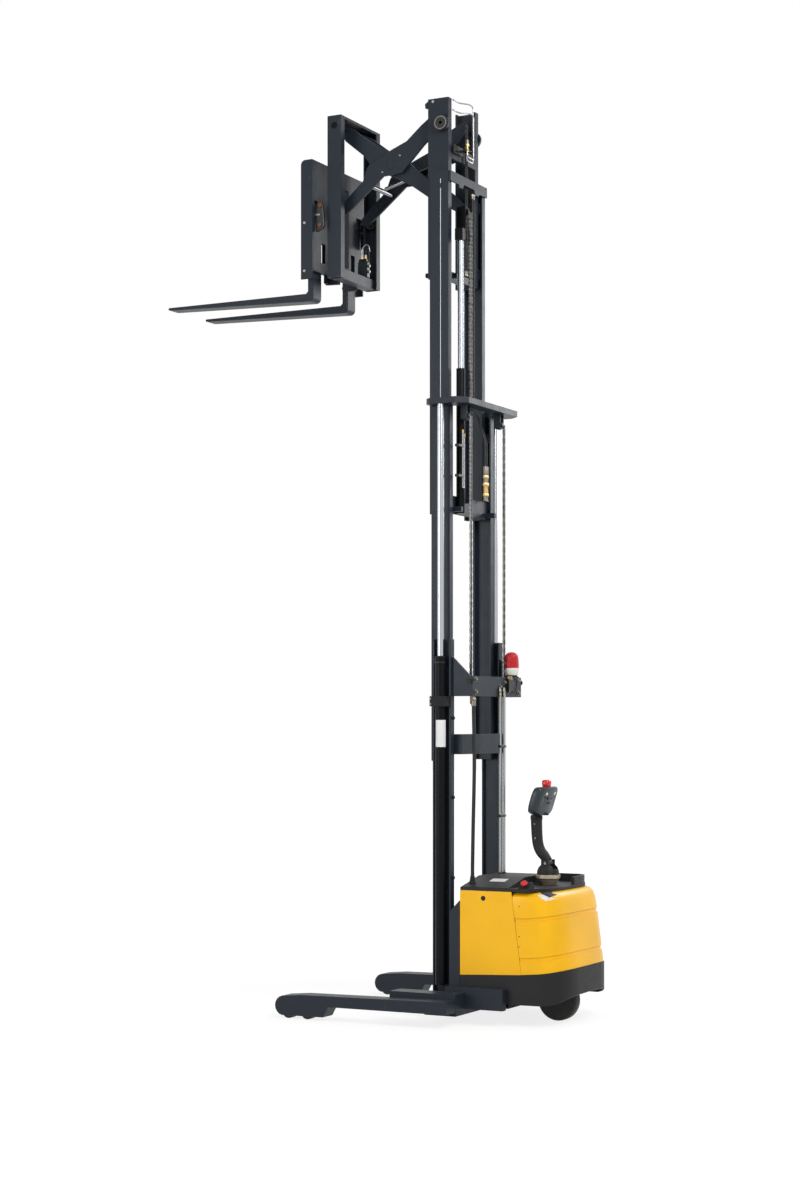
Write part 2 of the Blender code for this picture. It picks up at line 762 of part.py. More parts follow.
def build_carriage():
    """Carriage rails, top and bottom beams and the reach cylinder's bracket."""
    heights = (
        CARRIAGE.bottom + LOWER_ROLLER, CARRIAGE.bottom + UPPER_ROLLER, CARRIAGE.top - SHOWN_ROLLER,
    )
    build_uprights("carriage", "reach_carriage", "inner", heights)
    rear = CARRIAGE.rear
    half = CARRIAGE.inner - SEAT
    low_z = CARRIAGE.bottom
    name = "carriage_bottom_beam"
    solid = box(name, (rear + 0.004, -half, low_z), (rear + 0.060, half, low_z + 0.045))
    lug = box(
        name + "_lug", (MAST_X - 0.0545, FREE_CHAIN_Y - 0.014, low_z + 0.010),
        (rear + 0.010, FREE_CHAIN_Y + 0.014, low_z + 0.040),
    )
    combine(solid, [lug])
    piece(name, "reach_carriage", "slate_paint")
    name = "cylinder_bracket"
    foot = CYLINDER_FOOT
    solid = box(
        name, (rear, -CARRIAGE.inner + SEAT, foot.z - 0.040), (rear + 0.008, CARRIAGE.inner - SEAT, foot.z + 0.040),
    )
    tools = []
    for side_name, side in SIDES:
        low, high = sided(0.026, 0.036, side)
        tools.append(box(
            f"{name}_ear_{side_name}", (rear + 0.002, low, foot.z - 0.022), (foot.x + 0.022, high, foot.z + 0.022),
        ))
    combine(solid, tools)
    bore = cross_rod(name + "_bore", foot, -0.060, 0.060, 0.0103, 16)
    combine(solid, [bore], "DIFFERENCE")
    piece(name, "reach_carriage", "slate_paint")


CYLINDER_FOOT = PIVOT + Vector((-CYLINDER_BACK, 0, -CYLINDER_DOWN))


def arm_point(angle, along):
    """A point on the outer arms' line at a given arm angle."""
    return PIVOT + Vector((along * math.cos(angle), 0, -along * math.sin(angle)))


SHAFT = arm_point(ARM_ANGLE, SHAFT_ALONG)
CYLINDER_RUN = SHAFT - CYLINDER_FOOT
CYLINDER_AXIS = CYLINDER_RUN.normalized()


def arm_outline(start, direction, lengths):
    """Arm side view: round ends, wider round its middle pin; lengths are along the arm."""
    across = Vector((-direction.z, 0, direction.x))
    if across.z < 0:
        across = -across
    total = 2 * ARM_HALF
    half = ARM_DEPTH / 2
    belly = [(along, width) for along, width in lengths]
    upper = [(0.0, ARM_END), (0.06, half), *belly, (total - 0.06, half), (total, ARM_END)]
    lower = [(0.0, ARM_END), (0.06, half), *belly, (total - 0.06, half), (total, ARM_END)]
    points = []
    for along, width in upper:
        points.append((along, width))
    for step in range(1, 6):
        angle = math.radians(90 - 180 * step / 6)
        points.append((total + ARM_END * math.cos(angle), ARM_END * math.sin(angle)))
    for along, width in reversed(lower):
        points.append((along, -width))
    for step in range(1, 6):
        angle = math.radians(-90 - 180 * step / 6)
        points.append((ARM_END * math.cos(angle), ARM_END * math.sin(angle)))
    outline = []
    for along, up in points:
        place = start + direction * along + across * up
        outline.append((place.x, place.z))
    return outline


def build_outer_arms():
    """Carriage-pivoted arms on their centre shaft, with rollers for the reach frame's channels."""
    name = "outer_arms"
    direction = (OUTER_ROLLER - PIVOT).normalized()
    outline = arm_outline(PIVOT, direction, [(0.27, 0.042), (0.37, 0.072), (0.49, 0.072), (0.59, 0.042)])
    inner_face = ARM_OUTER_FACE - ARM_PLATE
    solid = cross_rod(name, CENTRE, -ARM_OUTER_FACE + 0.002, ARM_OUTER_FACE - 0.002, PIN_RADIUS, 20)
    tools = []
    web = FRAME_HALF - FRAME_WALL
    channel = FRAME_HALF - FRAME_WIDTH
    roller = FRAME_DEPTH / 2 - FRAME_WALL - SEAT
    for side_name, side in SIDES:
        low, high = sided(inner_face, ARM_OUTER_FACE, side)
        tools.append(flat_shape(f"{name}_plate_{side_name}", [outline], low, high, "XZ"))
        low, high = sided(inner_face + 0.004, CARRIAGE.web_inner - 2 * SEAT, side)
        tools.append(cross_rod(f"{name}_pin_{side_name}", PIVOT, low, high, PIN_RADIUS, 24))
        low, high = sided(inner_face + 0.004, channel + 0.010, side)
        tools.append(cross_rod(f"{name}_stub_{side_name}", OUTER_ROLLER, low, high, STUB_RADIUS, 16))
        low, high = sided(channel + 0.004, web - 0.002, side)
        tools.append(cross_rod(f"{name}_roller_{side_name}", OUTER_ROLLER, low, high, roller, 20))
    combine(solid, tools)
    piece(name, "outer_arms", "slate_paint")
    name = "reach_shaft"
    cross_rod(name, SHAFT, -inner_face + SEAT, inner_face - SEAT, SHAFT_RADIUS, 20)
    piece(name, "outer_arms", "chrome_rod")


def build_inner_arms():
    """Frame-pivoted arms, bored for the centre shaft and joined by a torsion tube."""
    name = "inner_arms"
    direction = (FRAME_PIVOT - INNER_ROLLER).normalized()
    outline = arm_outline(INNER_ROLLER, direction, [(0.30, 0.040), (0.40, 0.052), (0.46, 0.052), (0.56, 0.040)])
    tube = CENTRE - direction * TUBE_ALONG
    inner_face = ARM_INNER_FACE - ARM_PLATE
    solid = cross_rod(name, tube, -inner_face - 0.004, inner_face + 0.004, 0.038, 24)
    tools = []
    web = FRAME_HALF - FRAME_WALL
    roller = CARRIAGE.depth / 2 - FLANGE - SEAT
    for side_name, side in SIDES:
        low, high = sided(inner_face, ARM_INNER_FACE, side)
        tools.append(flat_shape(f"{name}_plate_{side_name}", [outline], low, high, "XZ"))
        low, high = sided(inner_face + 0.004, web - 2 * SEAT, side)
        tools.append(cross_rod(f"{name}_pin_{side_name}", FRAME_PIVOT, low, high, PIN_RADIUS, 20))
        low, high = sided(inner_face + 0.004, CARRIAGE.inner + 0.010, side)
        tools.append(cross_rod(f"{name}_stub_{side_name}", INNER_ROLLER, low, high, STUB_RADIUS, 12))
        low, high = sided(CARRIAGE.inner + 0.004, CARRIAGE.web_inner - 0.002, side)
        tools.append(cross_rod(f"{name}_roller_{side_name}", INNER_ROLLER, low, high, roller, 20))
    combine(solid, tools)
    bore = cross_rod(name + "_bore", CENTRE, -ARM_OUTER_FACE, ARM_OUTER_FACE, PIN_RADIUS + SEAT, 20)
    combine(solid, [bore], "DIFFERENCE")
    piece(name, "inner_arms", "slate_paint")


def build_reach_cylinder():
    """Barrel pinned in the carriage's bracket; the rod stops at its open eye before the shaft."""
    radius = 0.020
    rod_radius = 0.011
    length = CYLINDER_RUN.length
    barrel_end = CYLINDER_FOOT + CYLINDER_AXIS * (length * 0.62)
    name = "reach_cylinder"
    solid = rod(name, CYLINDER_FOOT, barrel_end, radius)
    eye = cross_rod(name + "_eye", CYLINDER_FOOT, -0.0257, 0.0257, radius + 0.005, 24)
    pin = cross_rod(name + "_pin", CYLINDER_FOOT, -0.040, 0.040, 0.010, 16)
    combine(solid, [eye, pin])
    bore = rod(
        name + "_bore", CYLINDER_FOOT + CYLINDER_AXIS * 0.060, barrel_end + CYLINDER_AXIS * 0.010,
        rod_radius + SEAT,
    )
    combine(solid, [bore], "DIFFERENCE")
    piece(name, "reach_cylinder", "black_paint")
    name = "reach_rod"
    tip = SHAFT - CYLINDER_AXIS * (SHAFT_RADIUS + ROD_DRIFT)
    rod(name, CYLINDER_FOOT + CYLINDER_AXIS * 0.240, tip, rod_radius)
    piece(name, "reach_rod", "chrome_rod")


FRAME_BOSS = 0.030
EAR_Y = 0.100
EAR_THICK = 0.020
TILT_PIN = 0.012
TILT_RISE = 0.015
BOTTOM_BAR = 0.061
TOP_BAR = 0.016


def build_reach_frame():
    """Two inward channels with top and bottom bars, and ears for the fork carriage."""
    name = "reach_frame"
    rear = FRAME_REAR
    front = FRAME_FRONT
    wall = FRAME_WALL
    web = FRAME_HALF - wall
    inn = FRAME_HALF - FRAME_WIDTH
    top_bar = [
        (rear, FRAME_TOP - TOP_BAR), (rear, FRAME_TOP), (front, FRAME_TOP), (front, FRAME_TOP - 0.075),
        (front - wall, FRAME_TOP - 0.075), (front - wall, FRAME_TOP - TOP_BAR),
    ]
    solid = flat_shape(name, [top_bar], -FRAME_HALF, FRAME_HALF, "XZ")
    tools = [box(
        name + "_bottom", (rear + 0.018, -inn - 0.004, FRAME_BOTTOM), (front, inn + 0.004, FRAME_BOTTOM + BOTTOM_BAR),
    )]
    for side_name, side in SIDES:
        section = [
            (rear, inn), (rear + wall, inn), (rear + wall, web), (front - wall, web), (front - wall, inn),
            (front, inn), (front, FRAME_HALF), (rear, FRAME_HALF),
        ]
        section = [(x, side * y) for x, y in section]
        tools.append(flat_shape(f"{name}_channel_{side_name}", [section], FRAME_BOTTOM, FRAME_TOP))
        low, high = sided(inn + 0.004, web + 0.002, side)
        tools.append(cross_rod(f"{name}_boss_{side_name}", FRAME_PIVOT, low, high, FRAME_BOSS, 20))
        low, high = sided(EAR_Y, EAR_Y + EAR_THICK, side)
        ear = [
            (front - 0.004, TILT_AXIS.z - 0.022), (TILT_AXIS.x + 0.012, TILT_AXIS.z - 0.018),
            (TILT_AXIS.x + 0.018, TILT_AXIS.z), (TILT_AXIS.x + 0.012, TILT_AXIS.z + 0.018),
            (front - 0.004, TILT_AXIS.z + 0.040),
        ]
        tools.append(flat_shape(f"{name}_ear_{side_name}", [ear], low, high, "XZ"))
    combine(solid, tools)
    bores = [
        cross_rod(name + "_pin_bore", TILT_AXIS, -EAR_Y - 0.030, EAR_Y + 0.030, TILT_PIN + SEAT, 16),
    ]
    for side_name, side in SIDES:
        low, high = sided(inn, web - SEAT, side)
        bores.append(cross_rod(f"{name}_bore_{side_name}", FRAME_PIVOT, low, high, PIN_RADIUS + SEAT, 20))
        low, high = sided(web - 0.004, FRAME_HALF + 0.010, side)
        bores.append(cross_rod(f"{name}_hole_{side_name}", FRAME_PIVOT, low, high, 0.012, 16))
    combine(solid, bores, "DIFFERENCE")
    piece(name, "reach_frame", "slate_paint")


BACK_REAR = FRAME_FRONT + TILT_GAP
BACK_FRONT = BACK_REAR + BACK_PLATE
BACK_LOW = FRAME_BOTTOM - 0.010
TILT_AXIS = Vector((BACK_REAR + BACK_PLATE / 2, 0, BACK_LOW + TILT_RISE))
PANEL_LOW = TILT_AXIS.z + 0.036
BACK_HIGH = BACK_LOW + CARRIAGE_HEIGHT
SIDE_PLATE = 0.012
SIDE_FRONT = BACK_FRONT + 0.055
END_ROUND = 0.030


def build_fork_carriage():
    """Back frame with windows, end plates with round corners, tilt lugs and the two forks."""
    name = "fork_carriage"
    inner = CARRIAGE_HALF - SIDE_PLATE
    panel = [(-inner - 0.002, PANEL_LOW), (inner + 0.002, PANEL_LOW), (inner + 0.002, BACK_HIGH), (-inner - 0.002, BACK_HIGH)]
    windows = []
    # low Y, high Y, low Z, high Z of the left half's windows
    table = [
        (0.030, 0.135, PANEL_LOW + 0.090, BACK_HIGH - 0.100),
        (0.165, 0.215, PANEL_LOW + 0.065, PANEL_LOW + 0.185),
        (0.235, 0.300, BACK_HIGH - 0.322, BACK_HIGH - 0.247),
    ]
    for low_y, high_y, low_z, high_z in table:
        windows.append([(low_y, low_z), (low_y, high_z), (high_y, high_z), (high_y, low_z)])
        windows.append([(-high_y, low_z), (-high_y, high_z), (-low_y, high_z), (-low_y, low_z)])
    solid = flat_shape(name, [panel, *windows], BACK_REAR, BACK_FRONT, "YZ")
    side_outline = [
        (BACK_REAR, BACK_LOW), (SIDE_FRONT, BACK_LOW),
        *arc((SIDE_FRONT - END_ROUND, BACK_HIGH - END_ROUND), END_ROUND, 0, 90, 5), (BACK_REAR, BACK_HIGH),
    ]
    tools = []
    for side_name, side in SIDES:
        low, high = sided(inner, CARRIAGE_HALF, side)
        tools.append(flat_shape(f"{name}_end_{side_name}", [side_outline], low, high, "XZ"))
        low, high = sided(EAR_Y + EAR_THICK + 0.005, EAR_Y + EAR_THICK + 0.021, side)
        lug = [
            (BACK_REAR, PANEL_LOW + 0.010), (BACK_REAR, TILT_AXIS.z - 0.012), (TILT_AXIS.x, TILT_AXIS.z - 0.016),
            (BACK_FRONT, TILT_AXIS.z - 0.012), (BACK_FRONT, PANEL_LOW + 0.010),
        ]
        tools.append(flat_shape(f"{name}_lug_{side_name}", [lug], low, high, "XZ"))
        low, high = sided(EAR_Y + 0.002, EAR_Y + EAR_THICK + 0.010, side)
        tools.append(cross_rod(f"{name}_pin_{side_name}", TILT_AXIS, low, high, TILT_PIN, 16))
    combine(solid, tools)
    piece(name, "fork_carriage", "slate_paint")

    back = BACK_FRONT + SEAT
    face = back + FORK_THICK
    tip = face + FORK_LENGTH
    heel_low = FORK_TOP - FORK_THICK
    outline = [
        (back, BACK_HIGH - 0.030), (back, heel_low + 0.020), *arc((back + 0.030, heel_low + 0.020), 0.030, 180, 270, 4)[1:],
        (tip - 0.030, FORK_TOP - 0.018), *arc((tip - 0.008, FORK_TOP - 0.008), 0.008, 270, 450, 4),
        (face + 0.014, FORK_TOP), (face, FORK_TOP + 0.014), (face, BACK_HIGH - 0.030),
    ]
    for side_name, side in SIDES:
        name = f"fork_{side_name}"
        low, high = sided(FORK_CENTRES / 2 - FORK_WIDTH / 2, FORK_CENTRES / 2 + FORK_WIDTH / 2, side)
        flat_shape(name, [outline], low, high, "XZ")
        piece(name, "fork_carriage", "slate_paint")


FORK_TOP = BACK_LOW - FORK_DROP + 0.007

# Chassis and body

CHASSIS_LOW = 0.045
FLOOR_PLATE = 0.015
DECK_LOW = 0.300
DECK_HIGH = 0.314
DECK_HALF = 0.360
STEER_X = MAST_X - DRIVE_BEHIND
WALL_X = STEER_X + 0.170
MOTOR_RADIUS = 0.070
OUTRIGGER_HALF = 0.455
SKIRT_HALF = HOOD_HALF + 0.005
SKIRT_WALL = 0.008
STEP_OUT = LEG_CENTRE - LEG_WIDTH / 2 - SEAT


def build_chassis():
    """Welded base: crossbeam, outriggers, floor, bulkhead, steering deck and mast supports."""
    name = "chassis"
    top = BASE_TOP - SEAT
    front = MAST_X
    solid = box(name, (MAST_X - 0.205, -OUTRIGGER_HALF, CHASSIS_LOW), (front, OUTRIGGER_HALF, top))
    tools = [
        box(name + "_floor", (WALL_X - 0.006, -0.370, top - FLOOR_PLATE), (MAST_X - 0.190, 0.370, top)),
        box(name + "_wall", (WALL_X - 0.006, -DECK_HALF, top - 0.005), (WALL_X, DECK_HALF, DECK_HIGH)),
        box(name + "_deck", (STEER_X - 0.130, -DECK_HALF + 0.100, DECK_LOW), (WALL_X - 0.003, DECK_HALF - 0.100, DECK_HIGH)),
        box(name + "_bulkhead", (MAST_X - 0.204, -0.380, top - 0.005), (MAST_X - 0.198, 0.380, HOOD_TOP - 0.020)),
    ]
    support = [
        (MAST_X - 0.204, top - 0.010), (MAST_X - 0.204, 0.725), (MAST_X - 0.136, 0.655), (MAST_X - 0.136, top - 0.010),
    ]
    for side_name, side in SIDES:
        low, high = sided(SKIRT_HALF + 0.0008, OUTRIGGER_HALF, side)
        tools.append(box(f"{name}_outrigger_{side_name}", (MAST_X - 0.508, low, 0.095), (MAST_X - 0.136, high, OUTRIGGER_TOP)))
        low, high = sided(OUTRIGGER_HALF - 0.010, STEP_OUT, side)
        tools.append(box(f"{name}_step_{side_name}", (MAST_X - 0.260, low, 0.100), (MAST_X + 0.170, high, 0.190)))
        low, high = sided(0.372, HOOD_HALF - 0.001, side)
        tools.append(flat_shape(f"{name}_support_{side_name}", [support], low, high, "XZ"))
    combine(solid, tools)
    hole = rod(name + "_hole", (STEER_X, 0, DECK_LOW - 0.010), (STEER_X, 0, DECK_HIGH + 0.010), MOTOR_RADIUS + 0.001, sides=28)
    combine(solid, [hole], "DIFFERENCE")
    piece(name, "chassis", "slate_paint")


CORNER_START = TAIL_LENGTH - 0.262
ROUND_POWER = 2 / 3.4
ROUND_STEPS = 7


def body_contour(front, rear, half):
    """Plan line from the left front, round the tail to the right front."""
    start = MAST_X - CORNER_START
    depth = start - rear
    quarter = []
    for step in range(ROUND_STEPS + 1):
        angle = math.radians(90 * step / ROUND_STEPS)
        along = max(math.sin(angle), 0.0) ** ROUND_POWER
        across = max(math.cos(angle), 0.0) ** ROUND_POWER
        quarter.append((start - depth * along, half * across))
    right = [(x, -y) for x, y in reversed(quarter[:-1])]
    return [(front, half), *quarter, *right, (front, -half)]


def band_outline(front, rear, half, wall):
    """A U-shaped wall in plan: the outer line and back along the inner one."""
    outer = body_contour(front, rear, half)
    inner = body_contour(front, rear + wall, half - wall)
    return outer + list(reversed(inner))


def loft(name, levels, band=False):
    """Joins rings of points, one per level; a band's ends are closed by a face for each step along it."""
    data = bmesh.new()
    rings = [[data.verts.new(point) for point in level] for level in levels]
    count = len(rings[0])
    for lower, upper in zip(rings, rings[1:]):
        for i in range(count):
            j = (i + 1) % count
            data.faces.new((lower[i], lower[j], upper[j], upper[i]))
    for ring in (rings[0], rings[-1]):
        if band:
            for i in range(count // 2 - 1):
                data.faces.new((ring[i], ring[i + 1], ring[count - 2 - i], ring[count - 1 - i]))
        else:
            data.faces.new(ring)
    return from_bmesh(name, data)


TAIL_X = MAST_X - TAIL_LENGTH
HOOD_X = MAST_X - HOOD_FRONT
SEAM_LOW = CORNER_START - 0.006
SEAM_HIGH = SEAM_LOW - 0.064
COVER_DRAFT = 0.072
GROOVE_DEPTH = 0.006
COVER_SEAT = 0.0007
SKIRT_RISE = 0.130
SIDE_SLOPE = 0.044
TAIL_LIFT = 0.023
LID_FLOOR = HOOD_TOP + 0.020
LID_HALF = HOOD_HALF - 0.004
LID_BACK_HALF = HOOD_HALF - 0.055
CROWN_HALF = 0.150
CROWN_BACK = SEAM_HIGH - 0.020
RIM_TOP = LID_TOP - 0.006
BUTTON_BEHIND = SEAM_LOW + 0.012
BUTTON_WEDGE = [
    (HOOD_HALF - 0.085, LID_FLOOR - 0.008), (HOOD_HALF - 0.010, LID_FLOOR - 0.008),
    (HOOD_HALF - 0.002, LID_FLOOR + 0.001), (HOOD_HALF - 0.050, LID_FLOOR + 0.036), (HOOD_HALF - 0.072, LID_FLOOR + 0.036),
]


def tail_lift(x):
    """How far the skirt's top and the cover's steps have risen at a place along the body."""
    corner = MAST_X - CORNER_START
    bend = max(0.0, corner - x) / (corner - TAIL_X)
    return SIDE_SLOPE * max(0.0, HOOD_X - x) + TAIL_LIFT * bend ** 2


def build_body():
    """Skirt, side panels, rear cover with step grooves, lid and battery."""
    name = "skirt"
    outline = band_outline(HOOD_X, TAIL_X, SKIRT_HALF, SKIRT_WALL)
    levels = []
    for height in (0.0, 1.0):
        ring = []
        for x, y in outline:
            share = max(0.0, TAIL_X + SKIRT_RISE - x) / SKIRT_RISE
            low = SKIRT_LOW + 0.058 * share ** 2
            ring.append((x, y, low + (SKIRT_TOP + tail_lift(x) - low) * height))
        levels.append(ring)
    loft(name, levels, band=True)
    piece(name, "chassis", "black_plastic")

    panel_low = SKIRT_TOP + SEAT
    for side_name, side in SIDES:
        name = f"side_panel_{side_name}"
        seam_foot = MAST_X - SEAM_LOW
        outline = [
            (HOOD_X, HOOD_TOP), (MAST_X - SEAM_HIGH, HOOD_TOP), (seam_foot, panel_low + tail_lift(seam_foot)),
            (HOOD_X, panel_low),
        ]
        low, high = sided(HOOD_HALF - PANEL, HOOD_HALF, side)
        solid = flat_shape(name, [outline], low, high, "XZ")
        low, high = sided(HOOD_HALF - 0.040, HOOD_HALF - PANEL / 2, side)
        fold = box(name + "_fold", (HOOD_X - 0.004, low, panel_low), (HOOD_X, high, HOOD_TOP))
        combine(solid, [fold])
        piece(name, "chassis", "yellow_paint")

    name = "rear_cover"
    # height, inset of the wall, wall thickness, share of the tail's lift
    table = [
        (panel_low + COVER_SEAT, 0.0, PANEL, 1.0), (0.362, 0.0, PANEL, 1.0), (0.364, GROOVE_DEPTH, PANEL, 1.0),
        (0.384, GROOVE_DEPTH, PANEL, 1.0), (0.387, 0.0, PANEL, 1.0),
        (0.593, 0.0, PANEL, 1.0), (0.595, GROOVE_DEPTH, PANEL, 1.0), (0.615, GROOVE_DEPTH, PANEL, 1.0),
        (0.618, 0.0, PANEL, 1.0), (HOOD_TOP - 0.060, 0.0, 0.012, 0.0), (HOOD_TOP - 0.028, 0.008, 0.020, 0.0),
        (HOOD_TOP - 0.008, 0.028, 0.028, 0.0), (HOOD_TOP, 0.052, 0.028, 0.0),
    ]
    levels = []
    for height, inset, wall, lifted in table:
        share = (height - panel_low) / (HOOD_TOP - panel_low)
        front = MAST_X - SEAM_LOW + (SEAM_LOW - SEAM_HIGH) * share - 0.0015
        rear = TAIL_X + COVER_DRAFT * share + inset + 0.004
        half = HOOD_HALF - inset
        outline = band_outline(front, rear, half, wall)
        levels.append([(x, y, height + tail_lift(x) * lifted) for x, y in outline])
    loft(name, levels, band=True)
    piece(name, "chassis", "yellow_paint")

    name = "lid"
    low = HOOD_TOP + SEAT
    rear = TAIL_X + COVER_DRAFT + 0.050
    corner = MAST_X - BUTTON_BEHIND - 0.032
    front_plate = [
        (HOOD_X, -LID_HALF), (HOOD_X, LID_HALF), (corner, LID_HALF), (corner - 0.040, LID_BACK_HALF),
        (corner - 0.040, -LID_BACK_HALF), (corner, -LID_HALF),
    ]
    solid = flat_shape(name, [front_plate], low, LID_FLOOR)
    back = body_contour(MAST_X - CROWN_BACK, rear, LID_BACK_HALF)
    crown = [
        (-LID_HALF + 0.008, LID_FLOOR - 0.006), (LID_HALF - 0.008, LID_FLOOR - 0.006), (LID_HALF - 0.003, LID_FLOOR + 0.001),
        (CROWN_HALF, LID_TOP), (-CROWN_HALF, LID_TOP), (-LID_HALF + 0.003, LID_FLOOR + 0.001),
    ]
    rim = band_outline(MAST_X - CROWN_BACK - 0.010, rear + 0.004, LID_BACK_HALF - 0.004, 0.020)
    rim_low = [(x, y, LID_FLOOR - 0.004) for x, y in rim]
    rim_high = [(x, y, RIM_TOP) for x, y in rim]
    rim_band = loft(name + "_rim", [rim_low, rim_high])
    opening = box(
        name + "_opening", (TAIL_X - 0.1, -0.060, LID_FLOOR - 0.020), (MAST_X - CROWN_BACK + 0.010, HOOD_HALF, 1.0),
    )
    combine(rim_band, [opening], "DIFFERENCE")
    tools = [
        flat_shape(name + "_back", [back], low + 0.001, LID_FLOOR - 0.001),
        flat_shape(name + "_crown", [crown], MAST_X - CROWN_BACK, HOOD_X - 0.004, "YZ"),
        flat_shape(
            name + "_wedge", [BUTTON_WEDGE], MAST_X - BUTTON_BEHIND - 0.034, MAST_X - BUTTON_BEHIND + 0.034, "YZ",
        ),
        rim_band,
    ]
    combine(solid, tools)
    piece(name, "chassis", "black_plastic")

    box("battery", (WALL_X + 0.004, -0.330, BASE_TOP), (HOOD_X - 0.020, 0.330, 0.700))
    piece("battery", "chassis", "black_plastic")

    foot_y, foot_z = BUTTON_WEDGE[2]
    head_y, head_z = BUTTON_WEDGE[3]
    normal = Vector((0, head_z - foot_z, foot_y - head_y)).normalized()
    middle = Vector((MAST_X - BUTTON_BEHIND, (foot_y + head_y) / 2, (foot_z + head_z) / 2))
    seat = middle + normal * SEAT
    solid = rod("emergency_button", seat, seat + normal * 0.008, 0.029, 0.027, 24)
    stem = rod("emergency_stem", seat + normal * 0.006, seat + normal * 0.018, 0.012, sides=16)
    cap = rod("emergency_cap", seat + normal * 0.016, seat + normal * 0.030, 0.022, 0.019, 24)
    combine(solid, [stem, cap])
    piece("emergency_button", "chassis", "red_plastic")


WHEEL_SPOTS = [("front", 0.810), ("rear", 0.680)]


def build_legs():
    """Straddle legs with a pocket and axles for the tandem load wheels."""
    tip = MAST_X + LEG_AHEAD
    radius = 0.060
    for side_name, side in SIDES:
        name = f"leg_{side_name}"
        outline = [
            (MAST_X - LEG_BEHIND, LEG_LOW), (MAST_X - LEG_BEHIND, LEG_TOP), (tip - 0.180, LEG_TOP - 0.012),
            *arc((tip - radius, 0.078), radius, 80, -75, 8),
            (tip - 0.330, 0.022), (tip - 0.365, LEG_LOW),
        ]
        low, high = sided(LEG_CENTRE - LEG_WIDTH / 2, LEG_CENTRE + LEG_WIDTH / 2, side)
        solid = flat_shape(name, [outline], low, high, "XZ")
        low, high = sided(LEG_CENTRE - LOAD_WIDTH / 2 - 0.006, LEG_CENTRE + LOAD_WIDTH / 2 + 0.006, side)
        pocket = box(name + "_pocket", (MAST_X + 0.625, low, -0.010), (MAST_X + 0.862, high, 0.098))
        combine(solid, [pocket], "DIFFERENCE")
        axles = []
        for spot, ahead in WHEEL_SPOTS:
            start, end = sided(LEG_CENTRE - LEG_WIDTH / 2 + 0.004, LEG_CENTRE + LEG_WIDTH / 2 - 0.004, side)
            axles.append(cross_rod(
                f"{name}_axle_{spot}", Vector((MAST_X + ahead, 0, LOAD_RADIUS)), start, end, AXLE_RADIUS, 16,
            ))
        combine(solid, axles)
        piece(name, "chassis", "slate_paint")
        for spot, ahead in WHEEL_SPOTS:
            name = f"load_wheel_{spot}_{side_name}"
            build_wheel(
                name, (MAST_X + ahead, side * LEG_CENTRE, LOAD_RADIUS), LOAD_RADIUS, LOAD_WIDTH, AXLE_RADIUS + SEAT, 20,
            )
            piece(name, f"load_wheel_{spot}_{side_name}", "wheel_tread")


def build_wheel(name, centre, radius, width, bore, steps):
    """A bored wheel with rounded shoulders, axle along Y."""
    half = width / 2
    hub = bore + (radius - bore) * 0.45
    profile = [
        (bore, half), (hub, half), (hub + 0.003, half - 0.004), (radius - 0.010, half - 0.004),
        (radius - 0.003, half - 0.006), (radius, half - 0.012), (radius, -half + 0.012),
        (radius - 0.003, -half + 0.006), (radius - 0.010, -half + 0.004), (hub + 0.003, -half + 0.004),
        (hub, -half), (bore, -half),
    ]
    return turned(name, profile, centre, (0, 1, 0), steps)


def build_drive():
    """Steered drive unit under the deck, with its motor and wheel."""
    name = "drive_unit"
    axle = Vector((STEER_X, 0, DRIVE_RADIUS))
    side_y = DRIVE_WIDTH / 2 + 0.008
    solid = rod(name, (STEER_X, 0, DECK_LOW - SEAT - 0.024), (STEER_X, 0, DECK_LOW - SEAT), 0.105, sides=32)
    tools = [
        rod(name + "_motor", (STEER_X, 0, DECK_LOW - 0.010), (STEER_X, 0, 0.600), MOTOR_RADIUS, sides=28),
        box(name + "_arm", (STEER_X - 0.055, -side_y - 0.042, DRIVE_RADIUS), (STEER_X + 0.055, -side_y, DECK_LOW - 0.020)),
        cross_rod(name + "_gearbox", axle, -side_y - 0.042, -side_y, 0.062, 28),
        cross_rod(name + "_axle", axle, -side_y - 0.010, DRIVE_WIDTH / 2 - 0.008, 0.020, 20),
    ]
    combine(solid, tools)
    piece(name, "drive_unit", "black_paint")
    build_wheel("drive_wheel", axle, DRIVE_RADIUS, DRIVE_WIDTH, 0.020 + SEAT, 32)
    piece("drive_wheel", "drive_wheel", "wheel_tread")


# Tiller

TILLER_X = STEER_X + 0.072
RING_HIGH = 0.060
TILLER_PIVOT = Vector((TILLER_X, 0, LID_FLOOR + 0.129))
EAR_GAP = 0.0355
ARM_RADIUS = 0.030


